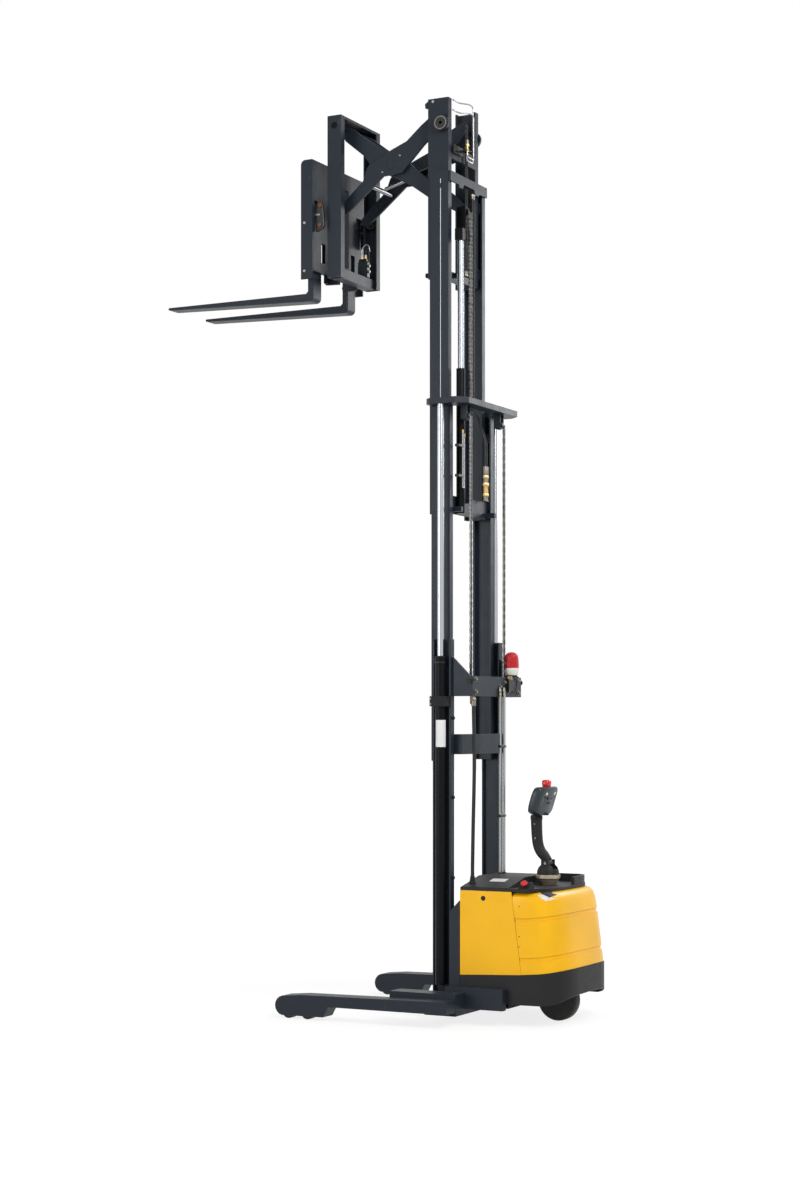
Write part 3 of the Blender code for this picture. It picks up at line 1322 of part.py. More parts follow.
def build_tiller():
    """Steering base with boot, cranked arm, and head with grips, thumb knobs and belly button."""
    name = "tiller_ring"
    low = LID_FLOOR + SEAT
    profile = [(0, RING_HIGH), (0.0735, RING_HIGH), (0.0735, RING_HIGH - 0.022), (0.066, RING_HIGH - 0.026), (0.052, 0), (0, 0)]
    turned(name, profile, (TILLER_X, 0, low), steps=32)
    piece(name, "tiller_base", "grey_cast")

    name = "tiller_base"
    low += RING_HIGH + SEAT
    profile = [(0, 0.074), (0.026, 0.071), (0.045, 0.061), (0.059, 0.042), (0.066, 0.018), (0.067, 0), (0, 0)]
    solid = turned(name, profile, (TILLER_X, 0, low), steps=28)
    ears = []
    pivot = TILLER_PIVOT
    for side_name, side in SIDES:
        start, end = sided(EAR_GAP, EAR_GAP + 0.014, side)
        ears.append(box(
            f"{name}_ear_{side_name}", (TILLER_X - 0.024, start, low + 0.010), (TILLER_X + 0.024, end, pivot.z + 0.020),
        ))
    combine(solid, ears)
    slot = box(
        name + "_slot", (TILLER_X - 0.090, -EAR_GAP, pivot.z - ARM_RADIUS - 0.006), (TILLER_X + 0.090, EAR_GAP, 1.100),
    )
    bore = cross_rod(name + "_bore", pivot, -0.070, 0.070, 0.0103, 16)
    combine(solid, [slot, bore], "DIFFERENCE")
    piece(name, "tiller_base", "black_plastic")

    name = "tiller_arm"
    # ahead of the pivot, above it
    bends = [(0.0, 0.012), (0.022, 0.040), (0.048, 0.070), (0.064, 0.108), (0.071, 0.160), (0.074, 0.220), (0.075, 0.280)]
    route = [(pivot.x + ahead, 0, pivot.z + above) for ahead, above in bends]
    solid = hose(name, route, ARM_RADIUS, 3)
    hub = cross_rod(name + "_hub", pivot, -EAR_GAP + SEAT, EAR_GAP - SEAT, ARM_RADIUS, 20)
    pin = cross_rod(name + "_pin", pivot, -EAR_GAP - 0.012, EAR_GAP + 0.012, 0.010, 16)
    collar = rod(
        name + "_collar", (pivot.x + 0.075, 0, pivot.z + 0.255), (pivot.x + 0.075, 0, pivot.z + 0.2846), 0.037, sides=24,
    )
    combine(solid, [hub, pin, collar])
    piece(name, "tiller_arm", "black_plastic")

    name = "tiller_head"
    centre_x = pivot.x + 0.034
    base = pivot.z + 0.285
    shield = [
        (-0.050, base), (0.050, base), (0.092, base + 0.022), (0.120, base + 0.062), *arc((0.090, base + 0.128), 0.034, 0, 80, 4),
        *arc((-0.090, base + 0.128), 0.034, 100, 180, 4), (-0.120, base + 0.062), (-0.092, base + 0.022),
    ]
    grips = [
        [(0.058, base + 0.045), (0.058, base + 0.120), (0.086, base + 0.136), (0.102, base + 0.116), (0.102, base + 0.072)],
        [(-0.058, base + 0.045), (-0.102, base + 0.072), (-0.102, base + 0.116), (-0.086, base + 0.136), (-0.058, base + 0.120)],
    ]
    solid = flat_shape(name, [shield, *grips], centre_x - 0.040, centre_x + 0.044, "YZ")
    knob = Vector((centre_x - 0.044, 0, base + 0.095))
    tools = []
    for side_name, side in SIDES:
        start, end = sided(0.044, 0.060, side)
        tools.append(cross_rod(f"{name}_knob_{side_name}", knob, start, end, 0.020, 18))
    tools.append(box(
        name + "_pod", (centre_x - 0.052, -0.046, base + 0.014), (centre_x + 0.050, 0.046, base + 0.170),
    ))
    combine(solid, tools)
    piece(name, "tiller_arm", "black_plastic")
    name = "belly_button"
    top = base + 0.1703
    box(name, (centre_x - 0.050, -0.032, top), (centre_x + 0.006, 0.032, top + 0.042))
    bevelled(bpy.data.objects[name], 0.009, 2)
    piece(name, "tiller_arm", "red_plastic")


BEACON_X = MAST_X - 0.228
BEACON_Y = -0.286
BEACON_SEAT = 0.042
SHELF = 0.006
HOSE_RADIUS = 0.011
HOSE_TOP_Y = 0.318
HOSE_FOOT_Y = 0.312
HOSE_FOOT_Z = LID_FLOOR + (LID_HALF - HOSE_FOOT_Y + HOSE_RADIUS) / (LID_HALF - CROWN_HALF) * (LID_TOP - LID_FLOOR)
HOSE_FOOT = Vector((MAST_X - 0.2475, HOSE_FOOT_Y, HOSE_FOOT_Z + 2 * SEAT))


def smooth_route(anchors, spacing):
    """Points at about even spacing on a smooth curve through the anchors."""
    places = [Vector(anchor) for anchor in anchors]
    places = [places[0] * 2 - places[1], *places, places[-1] * 2 - places[-2]]
    points = [places[1]]
    for i in range(1, len(places) - 2):
        before, start, end, after = places[i - 1:i + 3]
        steps = max(1, round((end - start).length / spacing))
        for step in range(1, steps + 1):
            t = step / steps
            bend = (before * 2 - start * 5 + end * 4 - after) * t * t
            twist = (start * 3 - before - end * 3 + after) * t * t * t
            points.append((start * 2 + (end - before) * t + bend + twist) / 2)
    return points


def build_beacon_and_hose():
    """Beacon on its shelf at the crossbar's right end, and the main hose up the mast's back."""
    name = "beacon_base"
    shelf_low = CROSSBAR_HIGH + SEAT
    shelf_high = shelf_low + SHELF
    seat_high = shelf_high + 0.054
    solid = box(
        name, (MAST_X - CROSSBAR_BACK - CROSSBAR_PLATE, BEACON_Y - 0.032, shelf_low),
        (BEACON_X + BEACON_SEAT - 0.002, BEACON_Y + 0.032, shelf_high),
    )
    seat = rod(name + "_seat", (BEACON_X, BEACON_Y, shelf_high - 0.003), (BEACON_X, BEACON_Y, seat_high), BEACON_SEAT, sides=28)
    combine(solid, [seat])
    piece(name, "chassis", "pale_plastic")
    name = "beacon_lens"
    profile = [(0, 0.098), (0.012, 0.096), (0.026, 0.088), (0.035, 0.072), (0.040, 0.045), (0.041, 0), (0, 0)]
    turned(name, profile, (BEACON_X, BEACON_Y, seat_high + SEAT), steps=28)
    piece(name, "chassis", "red_plastic")
    name = "main_hose"
    top_x = MAST_X - CROSSBAR_BACK - CROSSBAR_PLATE / 2
    low = HOSE_FOOT.z
    high = CROSSBAR_LOW - SEAT
    route = [
        HOSE_FOOT, (HOSE_FOOT.x, HOSE_FOOT.y, low + 0.045), (HOSE_FOOT.x, HOSE_FOOT.y, low + 0.090),
        (HOSE_FOOT.x - 0.006, HOSE_FOOT.y + 0.004, low + 0.320),
        (top_x - 0.004, HOSE_TOP_Y - 0.002, high - 0.400), (top_x, HOSE_TOP_Y, high - 0.090), (top_x, HOSE_TOP_Y, high - 0.045),
        (top_x, HOSE_TOP_Y, high),
    ]
    hose(name, smooth_route(route, HOSE_RADIUS * 5), HOSE_RADIUS)
    piece(name, "chassis", "hose_rubber")


def make_bodies():
    """Empties on the joints' axes."""
    make_body("chassis", (0, 0, 0))
    make_body("drive_unit", (STEER_X, 0, DRIVE_RADIUS), "chassis")
    make_body("drive_wheel", (STEER_X, 0, DRIVE_RADIUS), "drive_unit")
    for side_name, side in SIDES:
        for spot, ahead in WHEEL_SPOTS:
            make_body(
                f"load_wheel_{spot}_{side_name}", (MAST_X + ahead, side * LEG_CENTRE, LOAD_RADIUS), "chassis",
            )
    make_body("tiller_base", (TILLER_X, 0, LID_FLOOR), "chassis")
    make_body("tiller_arm", TILLER_PIVOT, "tiller_base")
    make_body("middle_mast", (MAST_X, 0, MIDDLE.bottom), "chassis")
    make_body("inner_mast", (MAST_X, 0, INNER.bottom), "middle_mast")
    make_body("free_lift_head", (FREE_ROD_X, FREE_ROD_Y, HEAD_LOW), "inner_mast")
    make_body("reach_carriage", (MAST_X, 0, CARRIAGE.bottom), "inner_mast")
    make_body("outer_arms", PIVOT, "reach_carriage")
    make_body("inner_arms", CENTRE, "outer_arms")
    make_body("reach_frame", FRAME_PIVOT, "inner_arms")
    make_body("reach_cylinder", CYLINDER_FOOT, "reach_carriage")
    make_body("reach_rod", SHAFT, "reach_cylinder")
    make_body("fork_carriage", TILT_AXIS, "reach_frame")


def build():
    """Builds the whole stacker."""
    start_scene()
    make_materials()
    make_bodies()
    build_chassis()
    build_body()
    build_legs()
    build_drive()
    build_tiller()
    build_outer_mast()
    build_middle_mast()
    build_inner_mast()
    build_free_lift_head()
    build_carriage()
    build_outer_arms()
    build_inner_arms()
    build_reach_cylinder()
    build_reach_frame()
    build_fork_carriage()
    build_beacon_and_hose()


build()
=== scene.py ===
import json
import math

import bmesh
import bpy
from mathutils import Matrix, Vector
from mathutils.bvhtree import BVHTree


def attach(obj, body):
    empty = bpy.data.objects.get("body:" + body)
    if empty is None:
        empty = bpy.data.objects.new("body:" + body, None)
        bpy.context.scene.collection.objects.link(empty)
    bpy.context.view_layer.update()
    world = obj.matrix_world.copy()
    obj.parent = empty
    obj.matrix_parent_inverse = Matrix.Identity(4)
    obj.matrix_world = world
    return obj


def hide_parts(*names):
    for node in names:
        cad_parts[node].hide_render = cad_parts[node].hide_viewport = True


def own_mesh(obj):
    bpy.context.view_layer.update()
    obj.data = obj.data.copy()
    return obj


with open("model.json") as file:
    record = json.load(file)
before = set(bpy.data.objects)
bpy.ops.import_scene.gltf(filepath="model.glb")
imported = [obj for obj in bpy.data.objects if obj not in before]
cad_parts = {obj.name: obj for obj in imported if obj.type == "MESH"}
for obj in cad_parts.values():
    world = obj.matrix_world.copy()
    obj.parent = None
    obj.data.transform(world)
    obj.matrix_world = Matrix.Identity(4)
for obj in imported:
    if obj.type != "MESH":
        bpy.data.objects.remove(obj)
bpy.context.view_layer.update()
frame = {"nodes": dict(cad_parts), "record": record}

# Places in metres, in the frame's own axes
MAST_X = -0.530558
HOSE_Y = 0.312
HOSE_X = MAST_X - 0.2475
HOSE_TOP_X = MAST_X - 0.2575
HOSE_LOW = 0.826681
HOSE_HIGH = 1.9297
HOSE_RADIUS = 0.011
BARREL_X = MAST_X - 0.070
BARREL_Y = 0.3783
BARREL_RADIUS = 0.032
LIFT_CHAIN_X = MAST_X - 0.200
LIFT_CHAIN_Y = 0.235
LIFT_CHAIN_LOW, LIFT_CHAIN_HIGH = 2.0453, 3.605
FREE_CHAIN_X = MAST_X - 0.1390
FREE_CHAIN_Y = 0.115
FREE_CHAIN_LOW, FREE_CHAIN_HIGH = 3.1253, 4.850
BEACON_X, BEACON_Y = MAST_X - 0.228, -0.286
CROSSBAR_X = MAST_X - 0.265
LEG_Y = 0.635
TILLER_X = MAST_X - 0.598
TILLER_PIVOT = 0.935
SIDES = (("left", 1), ("right", -1))

UP = Vector((0, 0, 1))
NEAR = Vector((0, 1, 0))
AFT = Vector((-1, 0, 0))


# Camera

IMAGE_HEIGHT = 1200
FOCAL_PIXELS = 2180
HORIZON = 722
SENSOR_HEIGHT = 36.0
CAMERA_AFT = 5.828
CAMERA_NEAR = 11.962
CAMERA_HEIGHT = 1.777
CAMERA_TURN = 207.5


def make_camera():
    data = bpy.data.cameras.new("photo_camera")
    data.sensor_fit = "VERTICAL"
    data.sensor_height = SENSOR_HEIGHT
    data.lens = SENSOR_HEIGHT * FOCAL_PIXELS / IMAGE_HEIGHT
    data.shift_y = (HORIZON - IMAGE_HEIGHT / 2) / IMAGE_HEIGHT
    camera = bpy.data.objects.new("photo_camera", data)
    bpy.context.scene.collection.objects.link(camera)
    turn = Matrix.Rotation(math.radians(CAMERA_TURN), 4, "Z")
    pitch = Matrix.Rotation(math.radians(90), 4, "X")
    place = Matrix.Translation((MAST_X - CAMERA_AFT, CAMERA_NEAR, CAMERA_HEIGHT))
    camera.matrix_world = place @ turn @ pitch
    bpy.context.scene.camera = camera


# Materials

class Field:
    """A value that varies over a surface; arithmetic on it adds Math nodes."""

    def __init__(self, finish, socket):
        self.finish = finish
        self.socket = socket

    def join(self, operation, first, second=None):
        values = {0: first} if second is None else {0: first, 1: second}
        return self.finish.node("ShaderNodeMath", {"operation": operation}, values)

    def __add__(self, other):
        return self.join("ADD", self, other)

    def __radd__(self, other):
        return self.join("ADD", other, self)

    def __sub__(self, other):
        return self.join("SUBTRACT", self, other)

    def __rsub__(self, other):
        return self.join("SUBTRACT", other, self)

    def __mul__(self, other):
        return self.join("MULTIPLY", self, other)

    def __rmul__(self, other):
        return self.join("MULTIPLY", other, self)

    def __truediv__(self, other):
        return self.join("DIVIDE", self, other)

    def __rtruediv__(self, other):
        return self.join("DIVIDE", other, self)

    def wave(self):
        return self.join("SINE", self)

    def clamped(self):
        return self.join("MINIMUM", self.join("MAXIMUM", self, 0.0), 1.0)


class Finish:
    """A material built from one Principled shader."""

    def __init__(self, name, colour, roughness, metallic=0.0, coat=0.0, specular=0.5):
        self.material = bpy.data.materials.new(name)
        self.material.use_nodes = True
        self.tree = self.material.node_tree
        self.shader = self.tree.nodes["Principled BSDF"]
        self.output = self.tree.nodes["Material Output"]
        self.set("Base Color", (*colour, 1.0))
        self.set("Roughness", roughness)
        self.set("Metallic", metallic)
        self.set("Coat Weight", coat)
        self.set("Coat Roughness", 0.12)
        self.set("Specular IOR Level", specular)
        self.material.diffuse_color = (*colour, 1.0)

    def set(self, name, value):
        self.shader.inputs[name].default_value = value

    def node(self, kind, settings=None, values=None, output=0):
        made = self.tree.nodes.new(kind)
        for name, value in (settings or {}).items():
            if name == "stops":
                ramp = made.color_ramp
                while len(ramp.elements) < len(value):
                    ramp.elements.new(0.5)
                for element, (place, grey) in zip(ramp.elements, value):
                    element.position = place
                    element.color = (grey, grey, grey, 1.0)
            else:
                setattr(made, name, value)
        for name, value in (values or {}).items():
            if isinstance(value, Field):
                self.tree.links.new(value.socket, made.inputs[name])
            else:
                made.inputs[name].default_value = value
        return Field(self, made.outputs[output])

    def feed(self, name, field):
        self.tree.links.new(field.socket, self.shader.inputs[name])

    def place(self, stretch=(1, 1, 1)):
        spot = self.node("ShaderNodeTexCoord", output="Object")
        if stretch == (1, 1, 1):
            return spot
        return self.node("ShaderNodeVectorMath", {"operation": "MULTIPLY"}, {0: spot, 1: stretch})

    def noise(self, scale, detail=3.0, roughness=0.5, stretch=(1, 1, 1)):
        values = {
            "Vector": self.place(stretch), "Scale": scale, "Detail": detail, "Roughness": roughness,
        }
        return self.node("ShaderNodeTexNoise", {}, values, "Fac")

    def along(self, axis):
        return self.node("ShaderNodeSeparateXYZ", {}, {0: self.place()}, "XYZ".index(axis))

    def tint(self, share, first, second):
        values = {0: share, 6: first, 7: second}
        return self.node("ShaderNodeMix", {"data_type": "RGBA"}, values, 2)

    def bump(self, height, strength, distance):
        values = {"Height": height, "Strength": strength, "Distance": distance}
        self.feed("Normal", self.node("ShaderNodeBump", {}, values))

    def upness(self):
        normal = self.node("ShaderNodeNewGeometry", output="Normal")
        return self.node("ShaderNodeSeparateXYZ", {}, {0: normal}, 2)


def shade(colour, factor):
    return (*(min(1.0, channel * factor) for channel in colour[:3]), 1.0)


DUST = (0.30, 0.29, 0.27, 1.0)
SCUFF = (0.13, 0.13, 0.135, 1.0)
OIL = (0.03, 0.026, 0.022, 1.0)


def sprayed_paint(
    name, colour, roughness, peel=0.25, dust=0.10, coat=0.0, specular=0.3, scuffs=0.0,
):
    """Baked paint: orange peel, a slow drift of tone, dust on top faces and fine scuffs."""
    finish = Finish(name, colour, roughness, coat=coat, specular=specular)
    drift = finish.noise(2.6, 3.0)
    speck = finish.noise(260.0, 2.0)
    tone = finish.tint(drift, shade(colour, 0.84), shade(colour, 1.16))
    tone = finish.tint((speck - 0.62).clamped() * 1.6, tone, shade(colour, 1.7))
    settled = ((finish.upness() - 0.7) * 2.0).clamped() * finish.noise(9.0, 4.0) * dust
    tone = finish.tint(settled, tone, DUST)
    worn = None
    if scuffs:
        lines = finish.noise(34.0, 5.0, 0.65, (1.0, 1.0, 0.25))
        patches = finish.noise(7.0, 3.0)
        worn = ((lines - 0.60) * 9.0).clamped() * ((patches - 0.5) * 6.0).clamped() * scuffs
        tone = finish.tint(worn, tone, SCUFF)
    finish.feed("Base Color", tone)
    rough = finish.noise(14.0, 4.0) * 0.16 + (roughness - 0.08) + settled * 0.8
    if scuffs:
        rough = rough + worn * 0.2
    finish.feed("Roughness", rough.clamped())
    finish.bump(finish.noise(420.0, 1.0), peel, 0.0006)
    return finish.material


def moulded(name, colour, roughness, grain=900.0, depth=0.35, specular=0.35, coat=0.0):
    """Moulded plastic with a fine spark-eroded grain."""
    finish = Finish(name, colour, roughness, specular=specular, coat=coat)
    tone = finish.tint(finish.noise(5.0, 3.0), shade(colour, 0.85), shade(colour, 1.2))
    settled = ((finish.upness() - 0.75) * 2.5).clamped() * finish.noise(11.0, 4.0) * 0.05
    finish.feed("Base Color", finish.tint(settled, tone, DUST))
    finish.feed("Roughness", finish.noise(22.0, 3.0) * 0.14 + (roughness - 0.07))
    finish.bump(finish.noise(grain, 2.0), depth, 0.0003)
    return finish.material


def bare_metal(name, colour, roughness, stretch=(1, 1, 1), scale=60.0, depth=0.06, grime=0.0):
    """Bare metal with drawn or turned marks along one way, and oil grime in patches."""
    finish = Finish(name, colour, roughness, 1.0)
    marks = finish.noise(scale, 4.0, 0.6, stretch)
    tone = finish.tint(marks, shade(colour, 0.80), shade(colour, 1.12))
    if grime:
        dirt = ((finish.noise(48.0, 4.0) - 0.45) * 3.0).clamped() * grime
        tone = finish.tint(dirt, tone, OIL)
    finish.feed("Base Color", tone)
    finish.feed("Roughness", marks * 0.14 + (roughness - 0.05))
    finish.bump(marks, depth, 0.0004)
    return finish.material


def polished_rod(name, colour):
    """Ground and plated rod: faint drawn lines and a trace of oil, almost even."""
    finish = Finish(name, colour, 0.20, 1.0)
    lines = finish.noise(9.0, 2.0, 0.5, (20, 20, 0.15))
    film = finish.noise(3.0, 2.0)
    finish.feed("Base Color", finish.tint(lines, shade(colour, 0.94), shade(colour, 1.06)))
    finish.feed("Roughness", film * 0.08 + 0.16)
    return finish.material


def ribbed_hose(name, colour):
    """Black hydraulic hose: a fine spiral wrap under the cover and a dull sheen."""
    finish = Finish(name, colour, 0.5, specular=0.3)
    finish.feed(
        "Base Color", finish.tint(finish.noise(18.0, 3.0), shade(colour, 0.7), shade(colour, 1.6)),
    )
    finish.feed("Roughness", finish.noise(40.0, 3.0) * 0.2 + 0.40)
    wrap = (finish.along("Z") * 1900.0 + finish.noise(30.0, 1.0)).wave()
    finish.bump(wrap, 0.25, 0.0004)
    return finish.material


def tread_rubber(name, colour):
    """Cast polyurethane tread, rolled dull and slightly dirty in the middle."""
    finish = Finish(name, colour, 0.6, specular=0.35)
    dirt = ((finish.noise(60.0, 4.0) - 0.4) * 2.0).clamped() * 0.5
    finish.feed("Base Color", finish.tint(dirt, shade(colour, 1.0), (0.045, 0.043, 0.040, 1.0)))
    finish.feed("Roughness", finish.noise(34.0, 3.0) * 0.2 + 0.5)
    finish.bump(finish.noise(300.0, 2.0), 0.3, 0.0004)
    return finish.material


def lamp_lens(name, colour):
    """Tinted see-through plastic of the beacon, drawn opaque: tone that varies at random, and a
    faint painted glow that stands for light shining through the lens.
    """
    finish = Finish(name, colour, 0.16, coat=0.15, specular=0.3)
    # Painted glow: a faint emission in the lens colour stands for light shining through the
    # plastic.
    finish.set("Emission Color", (*colour, 1.0))
    finish.set("Emission Strength", 0.06)
    depth = finish.noise(70.0, 2.0)
    finish.feed("Base Color", finish.tint(depth, shade(colour, 0.75), shade(colour, 1.2)))
    finish.feed("Roughness", depth * 0.1 + 0.12)
    finish.bump(depth, 0.04, 0.0004)
    return finish.material


def make_finishes():
    slate = (0.0138, 0.0190, 0.0275)
    return {
        "slate_paint": sprayed_paint("slate_paint", slate, 0.42, scuffs=0.25, specular=0.20),
        "black_paint": sprayed_paint(
            "black_paint", (0.0032, 0.0038, 0.0048), 0.34, dust=0.04, specular=0.10,
        ),
        "yellow_paint": sprayed_paint(
            "yellow_paint", (0.86, 0.45, 0.006), 0.34, peel=0.10, dust=0.02, coat=0.10,
            specular=0.2,
        ),
        "black_plastic": moulded("black_plastic", (0.0115, 0.0115, 0.0130), 0.52, specular=0.22),
        "chrome_rod": polished_rod("chrome_rod", (0.44, 0.465, 0.49)),
        "oiled_rod": polished_rod("oiled_rod", (0.16, 0.17, 0.18)),
        "zinc": bare_metal("zinc", (0.24, 0.22, 0.18), 0.42, scale=180.0, depth=0.10, grime=0.4),
        "red_plastic": moulded("red_plastic", (0.60, 0.010, 0.012), 0.26, depth=0.08, coat=0.3),
        "pale_plastic": moulded("pale_plastic", (0.72, 0.70, 0.64), 0.45, depth=0.15),
        "grey_cast": bare_metal("grey_cast", (0.46, 0.39, 0.29), 0.50, (1, 1, 30), 20.0, 0.10, 0.3),
        "wheel_tread": tread_rubber("wheel_tread", (0.014, 0.013, 0.012)),
        "hose_rubber": ribbed_hose("hose_rubber", (0.010, 0.010, 0.011)),
        "steel_pipe": polished_rod("steel_pipe", (0.38, 0.385, 0.385)),
        "brass": bare_metal("brass", (0.52, 0.36, 0.14), 0.34, scale=120.0, grime=0.4),
        "label_white": moulded("label_white", (0.70, 0.70, 0.70), 0.35, 60.0, 0.02),
        "dark_metal": bare_metal(
            "dark_metal", (0.05, 0.05, 0.052), 0.40, scale=90.0, depth=0.10, grime=0.5,
        ),
        "chain_plate": bare_metal(
            "chain_plate", (0.15, 0.147, 0.142), 0.40, scale=300.0, depth=0.08, grime=0.8,
        ),
        "chain_pin": bare_metal(
            "chain_pin", (0.42, 0.41, 0.38), 0.36, scale=300.0, depth=0.05, grime=0.4,
        ),
        "rust_steel": bare_metal(
            "rust_steel", (0.16, 0.075, 0.045), 0.55, scale=80.0, depth=0.15, grime=0.5,
        ),
        "beacon_red": lamp_lens("beacon_red", (0.46, 0.004, 0.012)),
        "clear_grey": moulded("clear_grey", (0.020, 0.028, 0.033), 0.34, depth=0.06, specular=0.3),
    }


SLOTS = {row["node"]: row["material_slot"] for row in frame["record"]["subparts"]}
BODIES = {
    node: body for body, nodes in frame["record"]["behaviour"]["bodies"].items() for node in nodes
}


def dress_nodes(finishes):
    for name, solid in frame["nodes"].items():
        solid.data.materials.clear()
        solid.data.materials.append(finishes[SLOTS[name]])


def ease_edges(name, width=0.0022, crease=30.0, segments=2, finish=None):
    """A copy of a solid whose curved faces shade smoothly and whose sharp edges are rounded."""
    shape = bmesh.new()
    shape.from_mesh(frame["nodes"][name].data)
    shape.transform(frame["nodes"][name].matrix_world)
    bmesh.ops.remove_doubles(shape, verts=shape.verts[:], dist=0.00002)
    bmesh.ops.dissolve_limit(
        shape, angle_limit=math.radians(0.4), verts=shape.verts[:], edges=shape.edges[:],
    )
    sharp = [
        edge for edge in shape.edges
        if len(edge.link_faces) == 2 and edge.calc_face_angle() > math.radians(crease)
    ]
    if width:
        bmesh.ops.bevel(
            shape, geom=sharp, offset=width, segments=segments, profile=0.5, affect="EDGES",
            clamp_overlap=True,
        )
    for face in shape.faces:
        face.smooth = True
    for edge in shape.edges:
        edge.smooth = len(edge.link_faces) != 2 or edge.calc_face_angle() < math.radians(crease)
    data = bpy.data.meshes.new(name + "_eased")
    shape.to_mesh(data)
    shape.free()
    data.materials.append(finishes[finish or SLOTS[name]])
    made = bpy.data.objects.new(name + "_eased", data)
    bpy.context.scene.collection.objects.link(made)
    if width:
        shading = made.modifiers.new("even_shading", "WEIGHTED_NORMAL")
        shading.keep_sharp = True
        shading.weight = 60
    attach(made, BODIES[name])
    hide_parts(name)


def both(name):
    return (name + "_left", name + "_right")


# Width of the rounded edges, a finish other than the slot's, and the solids
EDGES = (
    (0.0018, None, ("rear_cover", "skirt", "lid", *both("side_panel"))),
    (
        0.0008, None,
        (
            "tiller_base", "tiller_ring", *both("lift_barrel"), *both("lift_rod"),
            "free_lift_barrel", "free_lift_rod", "crosshead", "reach_cylinder", "drive_unit",
        ),
    ),
    (0.0008, "oiled_rod", ("reach_rod", "reach_shaft")),
    (
        0.0026, None,
        (
            "chassis", *both("leg"), "outer_crossbar", *both("outer_upright"), "middle_crossbar",
            "middle_top_plate", *both("middle_upright"), "inner_bottom_crossbar",
            "inner_top_crossbar", *both("inner_upright"), "carriage_bottom_beam",
            *both("carriage_upright"), "cylinder_bracket", "reach_frame", "fork_carriage",
            *both("fork"),
        ),
    ),
)


# Mesh forms

def axes_of(way):
    way = Vector(way).normalized()
    side = way.orthogonal().normalized()
    return way, side, way.cross(side)


class Piece:
    """A mesh under construction; each form added to it carries one finish."""

    def __init__(self, name):
        self.name = name
        self.mesh = bmesh.new()
        self.finishes = []

    def index(self, finish):
        if finish not in self.finishes:
            self.finishes.append(finish)
        return self.finishes.index(finish)

    def loft(self, rings, finish, closed=True):
        """Skins a row of rings that have the same number of corners."""
        mark = self.index(finish)
        rows = [[self.mesh.verts.new(point) for point in ring] for ring in rings]
        count = len(rows[0])
        faces = []
        for first, second in zip(rows, rows[1:]):
            for i in range(count):
                k = (i + 1) % count
                faces.append(self.mesh.faces.new((first[i], first[k], second[k], second[i])))
        if closed:
            faces.append(self.mesh.faces.new(list(reversed(rows[0]))))
            faces.append(self.mesh.faces.new(rows[-1]))
        for face in faces:
            face.material_index = mark
        return rows

    def turned(self, foot, way, profile, finish, sides=28, ribs=0.0):
        """Turns a profile of (height, radius) about the line from foot along way."""
        way, side, across = axes_of(way)
        foot = Vector(foot)
        rings = []
        for height, radius in profile:
            ring = []
            for i in range(sides):
                turn = 2 * math.pi * i / sides
                reach = radius - (ribs if i % 2 else 0.0)
                ring.append(
                    foot + way * height + (side * math.cos(turn) + across * math.sin(turn)) * reach
                )
            rings.append(ring)
        self.loft(rings, finish)

    def bent(self, route, radius, finish, sides=12):
        """A round bar or pipe along a route."""
        route = [Vector(point) for point in route]
        way = (route[1] - route[0]).normalized()
        side = way.orthogonal().normalized()
        rings = []
        for i, point in enumerate(route):
            ahead = (route[min(i + 1, len(route) - 1)] - route[max(i - 1, 0)]).normalized()
            side = (side - ahead * side.dot(ahead)).normalized()
            across = ahead.cross(side)
            ring = []
            for k in range(sides):
                turn = 2 * math.pi * k / sides
                ring.append(point + (side * math.cos(turn) + across * math.sin(turn)) * radius)
            rings.append(ring)
        self.loft(rings, finish)

    def plate(self, outline, start, right, up, depth, finish, edge=0.0015):
        """A plate with eased edges: an outline in (right, up), pushed depth along right x up."""
        start, right, up = Vector(start), Vector(right).normalized(), Vector(up).normalized()
        out = right.cross(up)
        if sum(a[0] * b[1] - b[0] * a[1] for a, b in zip(outline, outline[1:] + outline[:1])) < 0:
            outline = list(reversed(outline))
        inner = eased(outline, edge)
        rings = []
        for shape, height in (
            (inner, 0.0), (outline, edge), (outline, depth - edge), (inner, depth),
        ):
            rings.append([start + right * a + up * b + out * height for a, b in shape])
        self.loft(rings, finish)

    def slab(self, low, high, finish, edge=0.0015):
        size = Vector(high) - Vector(low)
        outline = [(0, 0), (size.x, 0), (size.x, size.y), (0, size.y)]
        self.plate(outline, low, (1, 0, 0), (0, 1, 0), size.z, finish, edge)

    def nut(self, foot, way, width, height, finish):
        radius = width / math.sqrt(3)
        ease = height * 0.12
        profile = [
            (0, radius * 0.93), (ease, radius), (height - ease, radius), (height, radius * 0.90),
        ]
        self.turned(foot, way, profile, finish, 6)

    def bolt(self, foot, way, width, finish, washer=None):
        """A hexagon bolt head on its washer."""
        way = Vector(way).normalized()
        foot = Vector(foot)
        thick = width * 0.12
        rim = width * 0.92
        self.turned(
            foot, way, [(0, rim), (thick * 0.7, rim), (thick, rim * 0.95)], washer or finish, 20,
        )
        self.nut(foot + way * thick, way, width, width * 0.62, finish)

    def socket_screw(self, foot, way, radius, finish):
        """A cap screw with its round recess."""
        deep = radius * 1.1
        profile = [
            (0, radius), (deep, radius), (deep * 1.15, radius * 0.9), (deep * 1.15, radius * 0.55),
        ]
        self.turned(foot, way, profile + [(deep * 0.6, radius * 0.5)], finish, 16)

    def done(self, body, slot, *nodes):
        bmesh.ops.recalc_face_normals(self.mesh, faces=self.mesh.faces[:])
        for face in self.mesh.faces:
            face.smooth = True
        for seam in self.mesh.edges:
            if len(seam.link_faces) == 2 and seam.calc_face_angle() > math.radians(33):
                seam.smooth = False
        data = bpy.data.meshes.new(self.name)
        self.mesh.to_mesh(data)
        self.mesh.free()
        for finish in self.finishes:
            data.materials.append(finishes[finish])
        made = bpy.data.objects.new(self.name, data)
        bpy.context.scene.collection.objects.link(made)
        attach(made, body)
        if nodes:
            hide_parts(*nodes)
        return made


